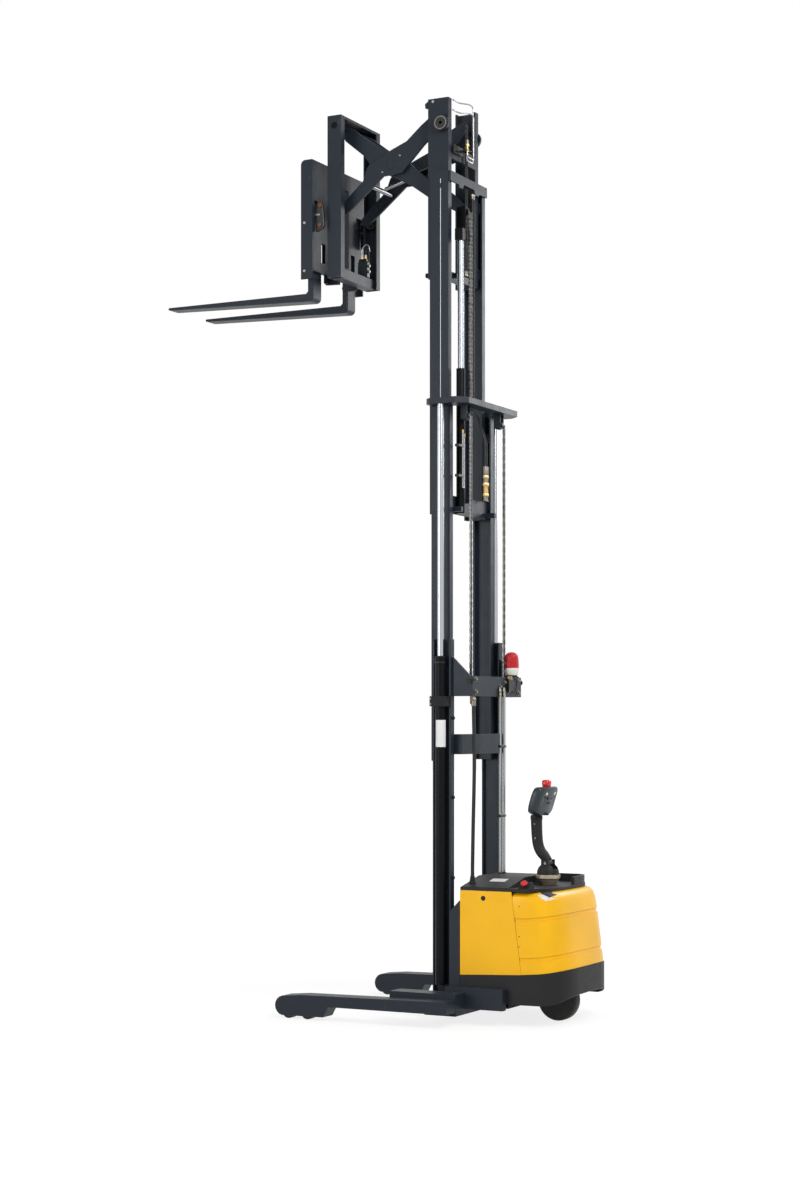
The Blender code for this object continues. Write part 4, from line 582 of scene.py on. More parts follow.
def eased(outline, edge):
    """The outline with each corner moved inwards by edge from both its sides."""
    count = len(outline)
    moved = []
    for i in range(count):
        before, here, after = (Vector(outline[(i + step) % count]) for step in (-1, 0, 1))
        first, second = (here - before).normalized(), (after - here).normalized()
        in_first, in_second = Vector((-first.y, first.x)), Vector((-second.y, second.x))
        both = in_first + in_second
        both = both / max(0.35, both.dot(in_first))
        moved.append(tuple(here + both * edge))
    return moved


def circle(centre, radius, sides=24, start=0.0, sweep=2 * math.pi):
    step = sweep / sides
    count = sides if abs(sweep - 2 * math.pi) < 1e-6 else sides + 1
    return [
        (
            centre[0] + radius * math.cos(start + step * i),
            centre[1] + radius * math.sin(start + step * i),
        ) for i in range(count)
    ]


def rounded(corners, radius, steps=5):
    """An outline whose corners are turned into arcs."""
    made = []
    count = len(corners)
    for i in range(count):
        before, here, after = (Vector(corners[(i + step) % count]) for step in (-1, 0, 1))
        reach = radius[i] if isinstance(radius, (list, tuple)) else radius
        reach = min(reach, (before - here).length * 0.49, (after - here).length * 0.49)
        first = here + (before - here).normalized() * reach
        last = here + (after - here).normalized() * reach
        for k in range(steps + 1):
            t = k / steps
            made.append(tuple(first * (1 - t) ** 2 + here * 2 * t * (1 - t) + last * t * t))
    return made


def smooth_route(anchors, spacing):
    places = [Vector(place) for place in anchors]
    places = [places[0] * 2 - places[1]] + places + [places[-1] * 2 - places[-2]]
    route = [places[1]]
    for before, start, end, after in zip(places, places[1:], places[2:], places[3:]):
        steps = max(1, round((end - start).length / spacing))
        for i in range(1, steps + 1):
            t = i / steps
            point = (
                start * 2
                + (end - before) * t
                + (before * 2 - start * 5 + end * 4 - after) * t**2
                + (start * 3 - before - end * 3 + after) * t**3
            ) / 2
            route.append(point)
    return route


def cornered(places, radius, steps=5):
    """A route of straight runs joined by bends, as a pipe is bent on a mandrel."""
    places = [Vector(place) for place in places]
    route = [places[0]]
    for before, here, after in zip(places, places[1:], places[2:]):
        reach = min(radius, (before - here).length * 0.45, (after - here).length * 0.45)
        first = here + (before - here).normalized() * reach
        last = here + (after - here).normalized() * reach
        for i in range(steps + 1):
            t = i / steps
            route.append(first * (1 - t) ** 2 + here * 2 * t * (1 - t) + last * t * t)
    route.append(places[-1])
    return route


# Hoses and chains

def lay_main_hose():
    """Lid to crossbar, with the boot at its foot and the crimped end at its top."""
    foot = (HOSE_X, HOSE_Y, HOSE_LOW)
    anchors = [
        foot,
        (HOSE_X, HOSE_Y, HOSE_LOW + 0.045),
        (HOSE_X, HOSE_Y, HOSE_LOW + 0.090),
        (HOSE_X - 0.006, HOSE_Y + 0.004, HOSE_LOW + 0.320),
        (HOSE_TOP_X - 0.004, HOSE_Y + 0.004, HOSE_HIGH - 0.400),
        (HOSE_TOP_X, HOSE_Y + 0.006, HOSE_HIGH - 0.090),
        (HOSE_TOP_X, HOSE_Y + 0.006, HOSE_HIGH - 0.045),
        (HOSE_TOP_X, HOSE_Y + 0.006, HOSE_HIGH),
    ]
    route = smooth_route(anchors, 0.055)
    hose = Piece("mast_hose")
    hose.bent(route, HOSE_RADIUS, "hose_rubber", 18)
    hose = hose.done("chassis", "hose_rubber", "main_hose")
    boot = Piece("hose_boot")
    profile = [(0, 0.020), (0.004, 0.0215), (0.010, 0.0205)]
    for step in range(5):
        height = 0.012 + step * 0.007
        radius = 0.0185 - step * 0.0011
        profile += [(height, radius), (height + 0.003, radius), (height + 0.0045, radius - 0.0014)]
    boot.turned((HOSE_X, HOSE_Y, 0.8195), UP, profile + [(0.050, 0.0118)], "black_plastic", 24)
    boot = boot.done("chassis", "black_plastic")
    crimp = Piece("hose_crimp")
    low = HOSE_HIGH - 0.058
    profile = [(0, 0.0125), (0.003, 0.0145), (0.024, 0.0145), (0.026, 0.0128), (0.030, 0.0128)]
    place = (HOSE_TOP_X, HOSE_Y + 0.006, low)
    crimp.turned(place, UP, profile, "zinc", 24)
    crimp.nut((place[0], place[1], low + 0.031), UP, 0.027, 0.018, "zinc")
    crimp.turned((place[0], place[1], low + 0.049), UP, [(0, 0.011), (0.0085, 0.011)], "zinc", 20)
    crimp = crimp.done("chassis", "zinc")
    length = sum((end - start).length for start, end in zip(route, route[1:]))


CHAIN_PITCH = 0.0254
# Where the leaves of each row start, and how wide a leaf is, in shares of the half width
LEAVES = ((-0.92, -0.11, 0.70), (-0.63, 0.41))
LEAF = 0.22
# A link's half height and the chain's half width
LIFT_LINK = (0.0058, 0.0119)
FREE_LINK = (0.0076, 0.0138)
MAST_TRAVEL = 1.39
HEAD_TRAVEL = 0.73


def link_outline(middle, pitch, width):
    """A figure-of-eight link seen from its side, as (offset, height)."""
    half = pitch / 2
    outline = []
    for i in range(7):
        turn = math.pi * i / 6
        outline.append((width * math.cos(turn), middle + half + width * math.sin(turn) * 0.9))
    outline.append((-width * 0.74, middle))
    for i in range(7):
        turn = math.pi + math.pi * i / 6
        outline.append((width * math.cos(turn), middle - half + width * math.sin(turn) * 0.9))
    outline.append((width * 0.74, middle))
    return outline


def hang_chain(name, place, low, high, travel, body, joint, node, width, half):
    """A leaf chain of interlaced plates on riveted pins."""
    x, y = place
    chain = Piece(name)
    count = int((high - low - 2 * width) / CHAIN_PITCH)
    pitch = (high - low - 2 * width) / count
    for step in range(count):
        outline = link_outline(low + width + pitch * (step + 0.5), pitch, width)
        for leaf in LEAVES[step % 2]:
            rings = []
            for offset in (leaf * half, (leaf + LEAF) * half):
                rings.append([(x + across, y + offset, z) for across, z in outline])
            chain.loft(rings, "chain_plate")
    profile = [(0, 0.0024), (0.0006, 0.0034), (2 * half - 0.0006, 0.0034), (2 * half, 0.0024)]
    for step in range(count + 1):
        height = low + width + pitch * step
        chain.turned((x, y - half, height), NEAR, profile, "chain_pin", 10)
    chain = chain.done(body, "zinc", node)
    length = high - low
    keep = (length - travel) / length
    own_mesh(chain)


def hang_chains():
    for side_name, side in SIDES:
        hang_chain(
            f"leaf_chain_{side_name}", (LIFT_CHAIN_X, side * LIFT_CHAIN_Y), LIFT_CHAIN_LOW,
            LIFT_CHAIN_HIGH, MAST_TRAVEL, "chassis", "mast_lift", f"lift_chain_{side_name}",
            *LIFT_LINK,
        )
    hang_chain(
        "leaf_chain_free", (FREE_CHAIN_X, FREE_CHAIN_Y), FREE_CHAIN_LOW, FREE_CHAIN_HIGH,
        HEAD_TRAVEL, "inner_mast", "head_lift", "free_lift_chain", *FREE_LINK,
    )


# Mast, outer stage

def fit_crossbar():
    """Chain anchor rods with their nuts, bolts and the cable socket on the crossbar."""
    fittings = Piece("crossbar_fittings")
    for side in (1, -1):
        x, y = LIFT_CHAIN_X, side * LIFT_CHAIN_Y
        fittings.turned(
            (x, y, 1.885), UP, [(0, 0.0048), (0.002, 0.006), (0.134, 0.006)], "zinc", 14,
        )
        fittings.nut((x, y, 2.006), UP, 0.021, 0.0135, "zinc")
        fittings.nut((x, y, 1.990), UP, 0.021, 0.0135, "brass")
        fittings.turned((x, y, 1.976), UP, [(0, 0.009), (0.013, 0.009)], "dark_metal", 16)
        fittings.turned(
            (x, y, 2.045), UP, [(0, 0.0105), (0.004, 0.0105), (0.0052, 0.0095)], "zinc", 18,
        )
        for height in (1.955, 2.030):
            fittings.bolt((CROSSBAR_X, side * 0.306, height), AFT, 0.017, "zinc")
    for y, height in ((-0.105, 2.018), (-0.158, 1.962), (-0.038, 1.990)):
        fittings.bolt((CROSSBAR_X, y, height), AFT, 0.015, "zinc")
    fittings.turned(
        (CROSSBAR_X, -0.2055, 2.014), AFT, [(0, 0.015), (0.008, 0.015), (0.010, 0.012)], "zinc", 24,
    )
    fittings.slab(
        (CROSSBAR_X - 0.020, -0.190, 1.968), (CROSSBAR_X, -0.124, 2.040), "dark_metal", 0.003,
    )
    for y in (-0.176, -0.139):
        fittings.turned(
            (CROSSBAR_X - 0.010, y, 2.040), UP, [(0, 0.007), (0.014, 0.007), (0.016, 0.005)],
            "brass", 16,
        )
    fittings.done("chassis", "zinc")


def run_mast_pipes():
    """The pair of lift pipes from the lid to the crossbar, with their clips and unions."""
    pipes = Piece("mast_pipes")
    x = MAST_X - 0.274
    for y, radius in ((-0.020, 0.0070), (-0.0755, 0.0095)):
        route = cornered([(x, y, 0.852), (x, y, 1.945), (x + 0.004, y, 1.985)], 0.01, 3)
        pipes.bent(route, radius, "steel_pipe", 18)
        pipes.nut((x + 0.0035, y, 1.957), UP, 0.022, 0.016, "zinc")
        pipes.nut((x + 0.0020, y, 1.938), UP, 0.019, 0.012, "brass")
        pipes.turned(
            (x, y, 0.850), UP, [(0, 0.016), (0.006, 0.016), (0.018, 0.0105)], "black_plastic", 18,
        )
    for height in (1.20, 1.62):
        pipes.slab(
            (MAST_X - 0.283, -0.090, height), (MAST_X - 0.264, -0.008, height + 0.018),
            "dark_metal", 0.003,
        )
    pipes.done("chassis", "chrome_rod")


def lay_beacon_cable():
    cable = Piece("beacon_cable")
    start = Vector((BEACON_X - 0.010, BEACON_Y + 0.026, 2.049))
    route = smooth_route(
        [
            start, (CROSSBAR_X - 0.012, BEACON_Y + 0.034, 2.035),
            (CROSSBAR_X - 0.012, BEACON_Y + 0.040, 1.985),
            (CROSSBAR_X - 0.010, BEACON_Y + 0.070, 1.952),
            (CROSSBAR_X - 0.009, BEACON_Y + 0.100, 1.975),
            (CROSSBAR_X - 0.004, BEACON_Y + 0.104, 1.996),
        ],
        0.012,
    )
    cable.bent(route, 0.0032, "hose_rubber", 10)
    cable.done("chassis", "hose_rubber")


def fit_upright_stubs():
    """Plugs behind the near upright, and rings and screws at the crossbar's ends."""
    stubs = Piece("upright_stubs")
    rear = MAST_X - 0.130
    for height in (1.8008, 1.330, 0.8532):
        stubs.turned(
            (rear, 0.341, height), AFT, [(0, 0.0095), (0.012, 0.0095), (0.0135, 0.0075)],
            "black_plastic", 16,
        )
    for side in (1, -1):
        y = side * 0.366
        out = Vector((0, side, 0))
        ring = [(0, 0.016), (0.0015, 0.016), (0.002, 0.0125), (0.0008, 0.011)]
        stubs.turned((MAST_X - 0.2506, y, 2.019), out, ring, "black_plastic", 24)
        for height in (1.884, 1.916):
            stubs.socket_screw(
                (BARREL_X + 0.047, side * (BARREL_Y + 0.037), height), out, 0.0055, "zinc",
            )
    stubs.done("chassis", "black_plastic")


def stick_barrel_label():
    """A blank plate on the near lift barrel."""
    label = Piece("barrel_label")
    middle = math.atan2(0.887, -0.462)
    half_wrap = 1.13
    rings = []
    for height in (1.629, 1.789):
        inner, outer = (
            circle(
                (BARREL_X, BARREL_Y), BARREL_RADIUS + raised, 16, middle - half_wrap, 2 * half_wrap,
            )
            for raised in (0.00005, 0.0004)
        )
        rings.append([(x, y, height) for x, y in outer + inner[::-1]])
    label.loft(rings, "label_white")
    label.done("chassis", "pale_plastic")


def dress_barrels():
    """The gland ring and the wiper at the top of each lift cylinder."""
    gland_ring = [(0, 0.0342), (0.001, 0.0352), (0.005, 0.0352), (0.006, 0.0343)]
    wiper = [(0, 0.0290), (0.004, 0.0290), (0.007, 0.0255), (0.007, 0.0215), (0.0005, 0.0212)]
    for side_name, side in SIDES:
        gland = Piece(f"barrel_gland_{side_name}")
        place = (BARREL_X, side * (BARREL_Y + 0.002), 2.127)
        gland.turned(place, UP, gland_ring, "dark_metal", 36)
        gland.turned((BARREL_X, side * BARREL_Y, 2.1621), UP, wiper, "black_plastic", 36)
        gland.done("chassis", "black_paint")


def fit_beacon():
    """The ribbed red dome on its pale seat, screwed to a bracket on the crossbar."""
    x, y = BEACON_X, BEACON_Y
    lens = Piece("beacon_dome")
    foot = 2.1107
    profile = [(0, 0.0455), (0.010, 0.0457), (0.052, 0.0432), (0.070, 0.0405)]
    for step in range(1, 8):
        turn = math.radians(90 * step / 7.6)
        profile.append((0.070 + 0.0278 * math.sin(turn), 0.0405 * math.cos(turn)))
    lens.turned((x, y, foot), UP, profile, "beacon_red", 64, 0.0011)
    rim = [(0, 0.0458), (0.005, 0.0464), (0.006, 0.0456)]
    lens.turned((x, y, foot), UP, rim, "beacon_red", 48)
    band = [(0, 0.0444), (0.001, 0.0450), (0.004, 0.0450), (0.005, 0.0442)]
    lens.turned((x, y, foot + 0.034), UP, band, "beacon_red", 48)
    lens.done("chassis", "red_plastic", "beacon_lens")

    base = Piece("beacon_seat")
    foot = 2.0504
    base.slab(
        (CROSSBAR_X, y - 0.032, foot), (x + 0.038, y + 0.032, foot + 0.006), "slate_paint", 0.0015,
    )
    gasket = [(0, 0.036), (0.002, 0.038), (0.006, 0.038), (0.008, 0.030)]
    base.turned((x, y, foot + 0.006), UP, gasket, "black_plastic", 36)
    socket = [
        (0, 0.036), (0.008, 0.0410), (0.034, 0.0440), (0.038, 0.0442), (0.040, 0.0434),
        (0.0455, 0.0434),
    ]
    base.turned((x, y, foot + 0.014), UP, socket, "pale_plastic", 48)
    for turn in (0.7, 2.6, 4.4):
        place = (x + 0.031 * math.cos(turn), y + 0.031 * math.sin(turn), foot + 0.006)
        base.socket_screw(place, UP, 0.003, "zinc")
    base.done("chassis", "pale_plastic", "beacon_base")


# Mast, middle stage

def fit_middle_mast():
    """The return bend of the lift line, clipped to the near middle upright."""
    pipes = Piece("middle_pipes")
    x = MAST_X - 0.1408
    route = cornered(
        [(x, 0.226, 3.52), (x, 0.226, 3.180), (x, 0.205, 3.180), (x, 0.205, 3.50)], 0.0105,
    )
    pipes.bent(route, 0.0043, "steel_pipe", 12)
    for y, height in ((0.226, 3.505), (0.205, 3.485)):
        pipes.turned(
            (x, y, height), UP, [(0, 0.0050), (0.001, 0.0058), (0.020, 0.0058), (0.021, 0.0050)],
            "brass", 16,
        )
    for height in (3.24, 3.42):
        pipes.slab(
            (x - 0.006, 0.2165, height), (MAST_X - 0.1180, 0.2850, height + 0.016), "dark_metal",
            0.002,
        )
    pipes.done("middle_mast", "chrome_rod")


# Mast, inner stage and free lift

def fit_top_lines():
    """Bent pipes, couplings and hoses at the carriage's head, clear of the crosshead's path."""
    pipes = Piece("top_pipes")
    for height, bend, back, turn, drop, low, rise, end in (
        (5.527, 0.080, 0.086, 0.025, -0.030, 5.180, 0.055, 5.212),
        (5.466, 0.090, 0.099, 0.035, -0.012, 5.197, 0.076, 5.226),
    ):
        near, rear = MAST_X - 0.046, MAST_X - back
        run = [
            (near, 0.162, height), (near, bend, height), (rear, turn, height), (rear, drop, height),
            (rear, drop, low), (rear, rise, low), (rear, rise, end),
        ]
        pipes.bent(cornered(run, 0.020), 0.0042, "steel_pipe", 12)
        end = Vector(run[-1])
        pipes.nut(end, UP, 0.019, 0.015, "brass")
        pipes.turned(end + UP * 0.015, UP, [(0, 0.008), (0.020, 0.008)], "brass", 16)
        pipes.nut(end + UP * 0.035, UP, 0.021, 0.014, "brass")
        pipes.turned(
            end + UP * 0.049, UP, [(0, 0.0095), (0.022, 0.0095), (0.024, 0.008)], "zinc", 18,
        )
    pipes.slab(
        (MAST_X - 0.110, 0.036, 5.2310), (MAST_X - 0.046, 0.0905, 5.2370), "dark_metal", 0.002,
    )
    pipes.slab(
        (MAST_X - 0.0515, 0.036, 5.2100), (MAST_X - 0.0435, 0.1645, 5.2600), "dark_metal", 0.002,
    )
    for height in (5.466, 5.527):
        pipes.nut((MAST_X - 0.046, 0.1645, height), -NEAR, 0.0085, 0.006, "zinc")
    pipes.done("reach_carriage", "chrome_rod")

    lane = MAST_X - 0.0495
    hoses = Piece("carriage_hoses")
    for back, y, run in ((0.086, 0.055, -0.026), (0.099, 0.076, -0.004)):
        start = MAST_X - back
        hoses.bent(
            smooth_route(
                [
                    (start, y, 5.298), (start, y, 5.345), (start + 0.006, y - 0.014, 5.382),
                    ((start + lane) / 2, (y + run) / 2, 5.398), (lane - 0.004, run + 0.012, 5.380),
                    (lane, run, 5.345), (lane, run, 5.20), (lane, run, 4.80), (lane, run, 4.520),
                ],
                0.03,
            ),
            0.0045, "hose_rubber", 12,
        )
        hoses.nut((lane, run, 4.4955), UP, 0.0125, 0.010, "zinc")
        hoses.turned(
            (lane, run, 4.5055), UP, [(0, 0.0056), (0.018, 0.0056), (0.020, 0.0049)], "zinc", 16,
        )
    hoses.done("reach_carriage", "hose_rubber")


def fit_inner_mast():
    """The hoses with their couplings on the bottom crossbar, and the slide strips."""
    hoses = Piece("mast_hoses")
    lane = MAST_X - 0.0690
    foot = MAST_X - 0.104
    for run, far in ((-0.056, -0.165), (-0.078, -0.190)):
        hoses.bent(
            smooth_route(
                [
                    (lane, run, 4.975), (lane, run, 4.40), (lane, run, 3.82),
                    (lane, run - 0.004, 3.74), ((foot + lane) / 2, (run + far) / 2, 3.61),
                    (foot, far + 0.006, 3.50), (foot, far, 3.43), (foot, far, 3.345),
                ],
                0.03,
            ),
            0.0050, "hose_rubber", 12,
        )
        hoses.turned(
            (lane, run, 4.972), UP, [(0, 0.0054), (0.002, 0.0062), (0.018, 0.0062)], "zinc", 16,
        )
        hoses.nut((lane, run, 4.9895), UP, 0.014, 0.012, "zinc")
        hoses.turned(
            (foot, far, 3.1345), UP,
            [(0, 0.0120), (0.004, 0.0120), (0.006, 0.0085), (0.030, 0.0085)], "zinc", 20,
        )
        hoses.nut((foot, far, 3.165), UP, 0.022, 0.018, "brass")
        hoses.turned((foot, far, 3.183), UP, [(0, 0.0085), (0.050, 0.0085)], "brass", 18)
        hoses.nut((foot, far, 3.228), UP, 0.024, 0.020, "brass")
        hoses.turned((foot, far, 3.248), UP, [(0, 0.0090), (0.030, 0.0090)], "zinc", 18)
        hoses.nut((foot, far, 3.276), UP, 0.022, 0.018, "brass")
        hoses.turned(
            (foot, far, 3.294), UP,
            [(0, 0.0100), (0.002, 0.0108), (0.050, 0.0108), (0.054, 0.0090)], "zinc", 20,
        )
    hoses.done("inner_mast", "hose_rubber")

    strip = Piece("slide_strips")
    for side in (1, -1):
        y = side * 0.2595
        low, high = sorted((y - side * 0.0004, y + side * 0.0016))
        strip.slab(
            (MAST_X - 0.0116, low, 3.72), (MAST_X - 0.0086, high, 5.035), "label_white", 0.0003,
        )
        for height in (4.985, 5.000):
            strip.turned(
                (MAST_X - 0.010, y, height), (0, side, 0),
                [(0, 0.0075), (0.003, 0.0075), (0.004, 0.006)], "dark_metal", 16,
            )
    strip.done("inner_mast", "pale_plastic")


# Reach carriage and linkage

PIVOT = Vector((-0.499558, 0, 5.446))
CENTRE = Vector((-0.1539, 0, 5.190226))
FRAME_PIVOT = Vector((0.191758, 0, 5.446))
OUTER_ROLLER = Vector((0.191758, 0, 4.934453))
INNER_ROLLER = Vector((-0.499558, 0, 4.934453))
ARM_LENGTH = 0.860
ARM_END = 0.030
PIN = 0.018

OUTER_UPPER = [
    (0.0, 0.030), (0.08, 0.046), (0.14, 0.048), (0.27, 0.040), (0.38, 0.070), (0.545, 0.100),
    (0.565, 0.096), (0.64, 0.050), (0.80, 0.040), (0.86, 0.030),
]
OUTER_LOWER = [
    (0.0, 0.030), (0.07, 0.052), (0.20, 0.062), (0.405, 0.092), (0.418, 0.088), (0.515, 0.022),
    (0.60, 0.026), (0.80, 0.034), (0.86, 0.030),
]
INNER_UPPER = [
    (0.0, 0.030), (0.06, 0.037), (0.20, 0.036), (0.32, 0.046), (0.50, 0.066), (0.60, 0.056),
    (0.80, 0.042), (0.86, 0.030),
]
INNER_LOWER = [
    (0.0, 0.030), (0.05, 0.050), (0.21, 0.058), (0.29, 0.080), (0.45, 0.066), (0.60, 0.040),
    (0.80, 0.037), (0.86, 0.030),
]


def arm_outline(start, direction, upper, lower):
    """An arm's side view in (x, z), with round ends about its two pins."""
    across = Vector((-direction.z, 0, direction.x))
    if across.z < 0:
        across = -across
    points = list(upper)
    for step in range(1, 6):
        turn = math.radians(90 - 30 * step)
        points.append((ARM_LENGTH + ARM_END * math.cos(turn), ARM_END * math.sin(turn)))
    points += [(along, -width) for along, width in reversed(lower)]
    for step in range(1, 6):
        turn = math.radians(-90 - 30 * step)
        points.append((ARM_END * math.cos(turn), ARM_END * math.sin(turn)))
    outline = []
    for along, width in points:
        place = start + direction * along + across * width
        outline.append((place.x, place.z))
    return outline


def cross_pin(piece, place, low, high, radius, finish, sides=28):
    """A pin across the machine, with eased ends."""
    profile = [
        (0, radius - 0.0012), (0.0012, radius), (high - low - 0.0012, radius),
        (high - low, radius - 0.0012),
    ]
    piece.turned((place.x, low, place.z), NEAR, profile, finish, sides)


def side_plate(piece, outline, low, high, finish):
    """A plate seen from the side in (x, z), from low to high across the machine."""
    piece.plate(
        [(x, -z) for x, z in outline], (0, low, 0), (1, 0, 0), (0, 0, -1), high - low, finish,
        0.002,
    )


def lay_arms(arms, outline, near, far, pins):
    """Both plates of a pair of arms, each with its bosses, pins, rollers and bolts."""
    for side in (1, -1):
        low, high = sorted((side * near, side * far))
        side_plate(arms, outline, low, high, "slate_paint")
        for place, inside, outside, radius, finish, sides in pins:
            low, high = sorted((side * inside, side * outside))
            cross_pin(arms, place, low, high, radius, finish, sides)


def build_outer_arms():
    arms = Piece("reach_arms_outer")
    direction = (OUTER_ROLLER - PIVOT).normalized()
    outline = arm_outline(PIVOT, direction, OUTER_UPPER, OUTER_LOWER)
    cross_pin(arms, CENTRE, -0.158, 0.158, PIN, "dark_metal")
    lay_arms(arms, outline, 0.142, 0.160, (
        (CENTRE, 0.1598, 0.1622, 0.034, "slate_paint", 32),
        (PIVOT, 0.1598, 0.1622, 0.027, "slate_paint", 32),
        (PIVOT, 0.146, 0.190, PIN, "dark_metal", 28),
        (OUTER_ROLLER, 0.146, 0.219, PIN, "zinc", 28),
        (OUTER_ROLLER, 0.213, 0.244, 0.0370, "dark_metal", 36),
        (PIVOT + direction * 0.355, 0.1599, 0.1640, 0.0075, "zinc", 6),
        (PIVOT + direction * 0.505, 0.1599, 0.1640, 0.0075, "zinc", 6),
    ))
    arms.done("outer_arms", "slate_paint", "outer_arms")


def build_inner_arms():
    arms = Piece("reach_arms_inner")
    direction = (INNER_ROLLER - FRAME_PIVOT).normalized()
    outline = arm_outline(FRAME_PIVOT, direction, INNER_UPPER, INNER_LOWER)
    cross_pin(arms, CENTRE + direction * 0.200, -0.116, 0.116, 0.038, "slate_paint", 36)
    lay_arms(arms, outline, 0.112, 0.130, (
        (CENTRE, 0.1299, 0.1405, 0.030, "slate_paint", 32),
        (FRAME_PIVOT, 0.116, 0.2454, PIN, "dark_metal", 28),
        (INNER_ROLLER, 0.116, 0.175, PIN, "zinc", 28),
        (INNER_ROLLER, 0.169, 0.1945, 0.0560, "dark_metal", 40),
    ))
    arms.done("inner_arms", "slate_paint", "inner_arms")


def fit_guide_bearings():
    """The guide bearings outside the rails: outer ring, race, seal, hub and pin."""
    rings = (
        (
            [(0, 0.0440), (0.0015, 0.0455), (0.006, 0.0455), (0.008, 0.0440), (0.008, 0.0400)],
            "dark_metal", 40,
        ),
        ([(0.0070, 0.0400), (0.0084, 0.0395), (0.0084, 0.0345), (0.0060, 0.0335)], "zinc", 40),
        ([(0.0050, 0.0335), (0.0058, 0.0330), (0.0058, 0.0250)], "black_plastic", 40),
        (
            [(0.0050, 0.0250), (0.0086, 0.0240), (0.0086, 0.0165), (0.0060, 0.0155)],
            "dark_metal", 40,
        ),
        ([(0.0050, 0.0110), (0.0080, 0.0100)], "chain_pin", 24),
    )
    rollers = Piece("guide_bearings")
    for side in (1, -1):
        place = (MAST_X + 0.001, side * 0.2345 - side * 0.0005, 5.377)
        for profile, finish, sides in rings:
            rollers.turned(place, (0, side, 0), profile, finish, sides)
    rollers.done("reach_carriage", "zinc")


def fit_carriage_top():
    """Lug, hose couplings and their bracket at the head of the near rail, and the stop below."""
    top = Piece("carriage_couplings")
    top.plate(
        [(0.096, 5.478), (0.122, 5.486), (0.124, 5.512), (0.112, 5.520), (0.096, 5.530)],
        (MAST_X, 0.204, 0), (1, 0, 0), (0, 0, 1), 0.016, "slate_paint", 0.002,
    )
    top.turned(
        (MAST_X + 0.066, 0.186, 5.5185), NEAR, [(0, 0.0145), (0.020, 0.0145), (0.022, 0.012)],
        "zinc", 24,
    )
    top.turned(
        (MAST_X + 0.066, 0.2082, 5.5185), NEAR, [(0, 0.0085), (0.003, 0.0085)], "chain_pin", 16,
    )
    top.slab((MAST_X - 0.010, 0.150, 5.490), (MAST_X + 0.050, 0.164, 5.531), "dark_metal", 0.002)
    for x, height in ((0.000, 5.512), (0.026, 5.506), (0.044, 5.520)):
        top.nut((MAST_X + x, 0.164, height), NEAR, 0.015, 0.010, "brass")
        top.turned((MAST_X + x, 0.174, height), NEAR, [(0, 0.0055), (0.018, 0.0055)], "zinc", 14)
    top.turned(
        (MAST_X + 0.099, 0.188, 4.4765), (1, 0, 0),
        [(0, 0.012), (0.012, 0.012), (0.014, 0.015), (0.022, 0.015), (0.024, 0.012)],
        "black_plastic", 20,
    )
    top.done("reach_carriage", "zinc")


def fit_reach_frame():
    """Valve block in the frame's rear corner, its couplings and hoses, and the pivots' caps."""
    block = Piece("valve_block")
    x, y = 0.190, -0.1225
    block.slab((x - 0.034, y - 0.0155, 4.5755), (x + 0.034, y + 0.0155, 4.676), "clear_grey", 0.003)
    block.slab((x - 0.026, y - 0.0130, 4.676), (x + 0.028, y + 0.0130, 4.694), "dark_metal", 0.003)
    for height in (4.612, 4.648):
        block.nut((x - 0.034, y, height), AFT, 0.018, 0.008, "zinc")
        block.turned(
            (x - 0.042, y, height), AFT, [(0, 0.0070), (0.004, 0.0070)], "pale_plastic", 16,
        )
    for shift in (-0.014, 0.014):
        block.nut((x + shift, y, 4.694), UP, 0.017, 0.011, "brass")
        block.turned((x + shift, y, 4.705), UP, [(0, 0.0075), (0.014, 0.0075)], "pale_plastic", 16)
    for height in (4.592, 4.615, 4.638):
        block.turned(
            (x + 0.010, y + 0.0155, height), NEAR, [(0, 0.006), (0.0012, 0.006)], "dark_metal", 16,
        )
    block.done("reach_frame", "black_plastic")

    hose = Piece("valve_hoses")
    for route, radius, finish in (
        (
            [
                (x - 0.014, y, 4.714), (x - 0.014, y, 4.738), (x - 0.024, y + 0.004, 4.760),
                (x - 0.036, y + 0.004, 4.735), (x - 0.0405, y + 0.005, 4.690),
                (x - 0.0405, y + 0.005, 4.668),
            ],
            0.0050, "hose_rubber",
        ),
        (
            [
                (x + 0.014, y, 4.714), (x + 0.014, y, 4.742), (x + 0.004, y - 0.004, 4.772),
                (x - 0.016, y - 0.006, 4.786), (x - 0.033, y - 0.006, 4.772),
                (x - 0.040, y - 0.006, 4.740),
            ],
            0.0042, "steel_pipe",
        ),
    ):
        hose.bent(smooth_route(route, 0.010), radius, finish, 12)
    hose.done("reach_frame", "hose_rubber")

    caps = Piece("frame_pivot_caps")
    for side in (1, -1):
        out = Vector((0, side, 0))
        caps.turned(
            (FRAME_PIVOT.x, side * 0.2562, FRAME_PIVOT.z), out,
            [(0, 0.0215), (0.0005, 0.0215), (0.0010, 0.0205), (0.0010, 0.0125), (-0.006, 0.0120)],
            "black_paint", 32,
        )
    caps.done("reach_frame", "black_paint")


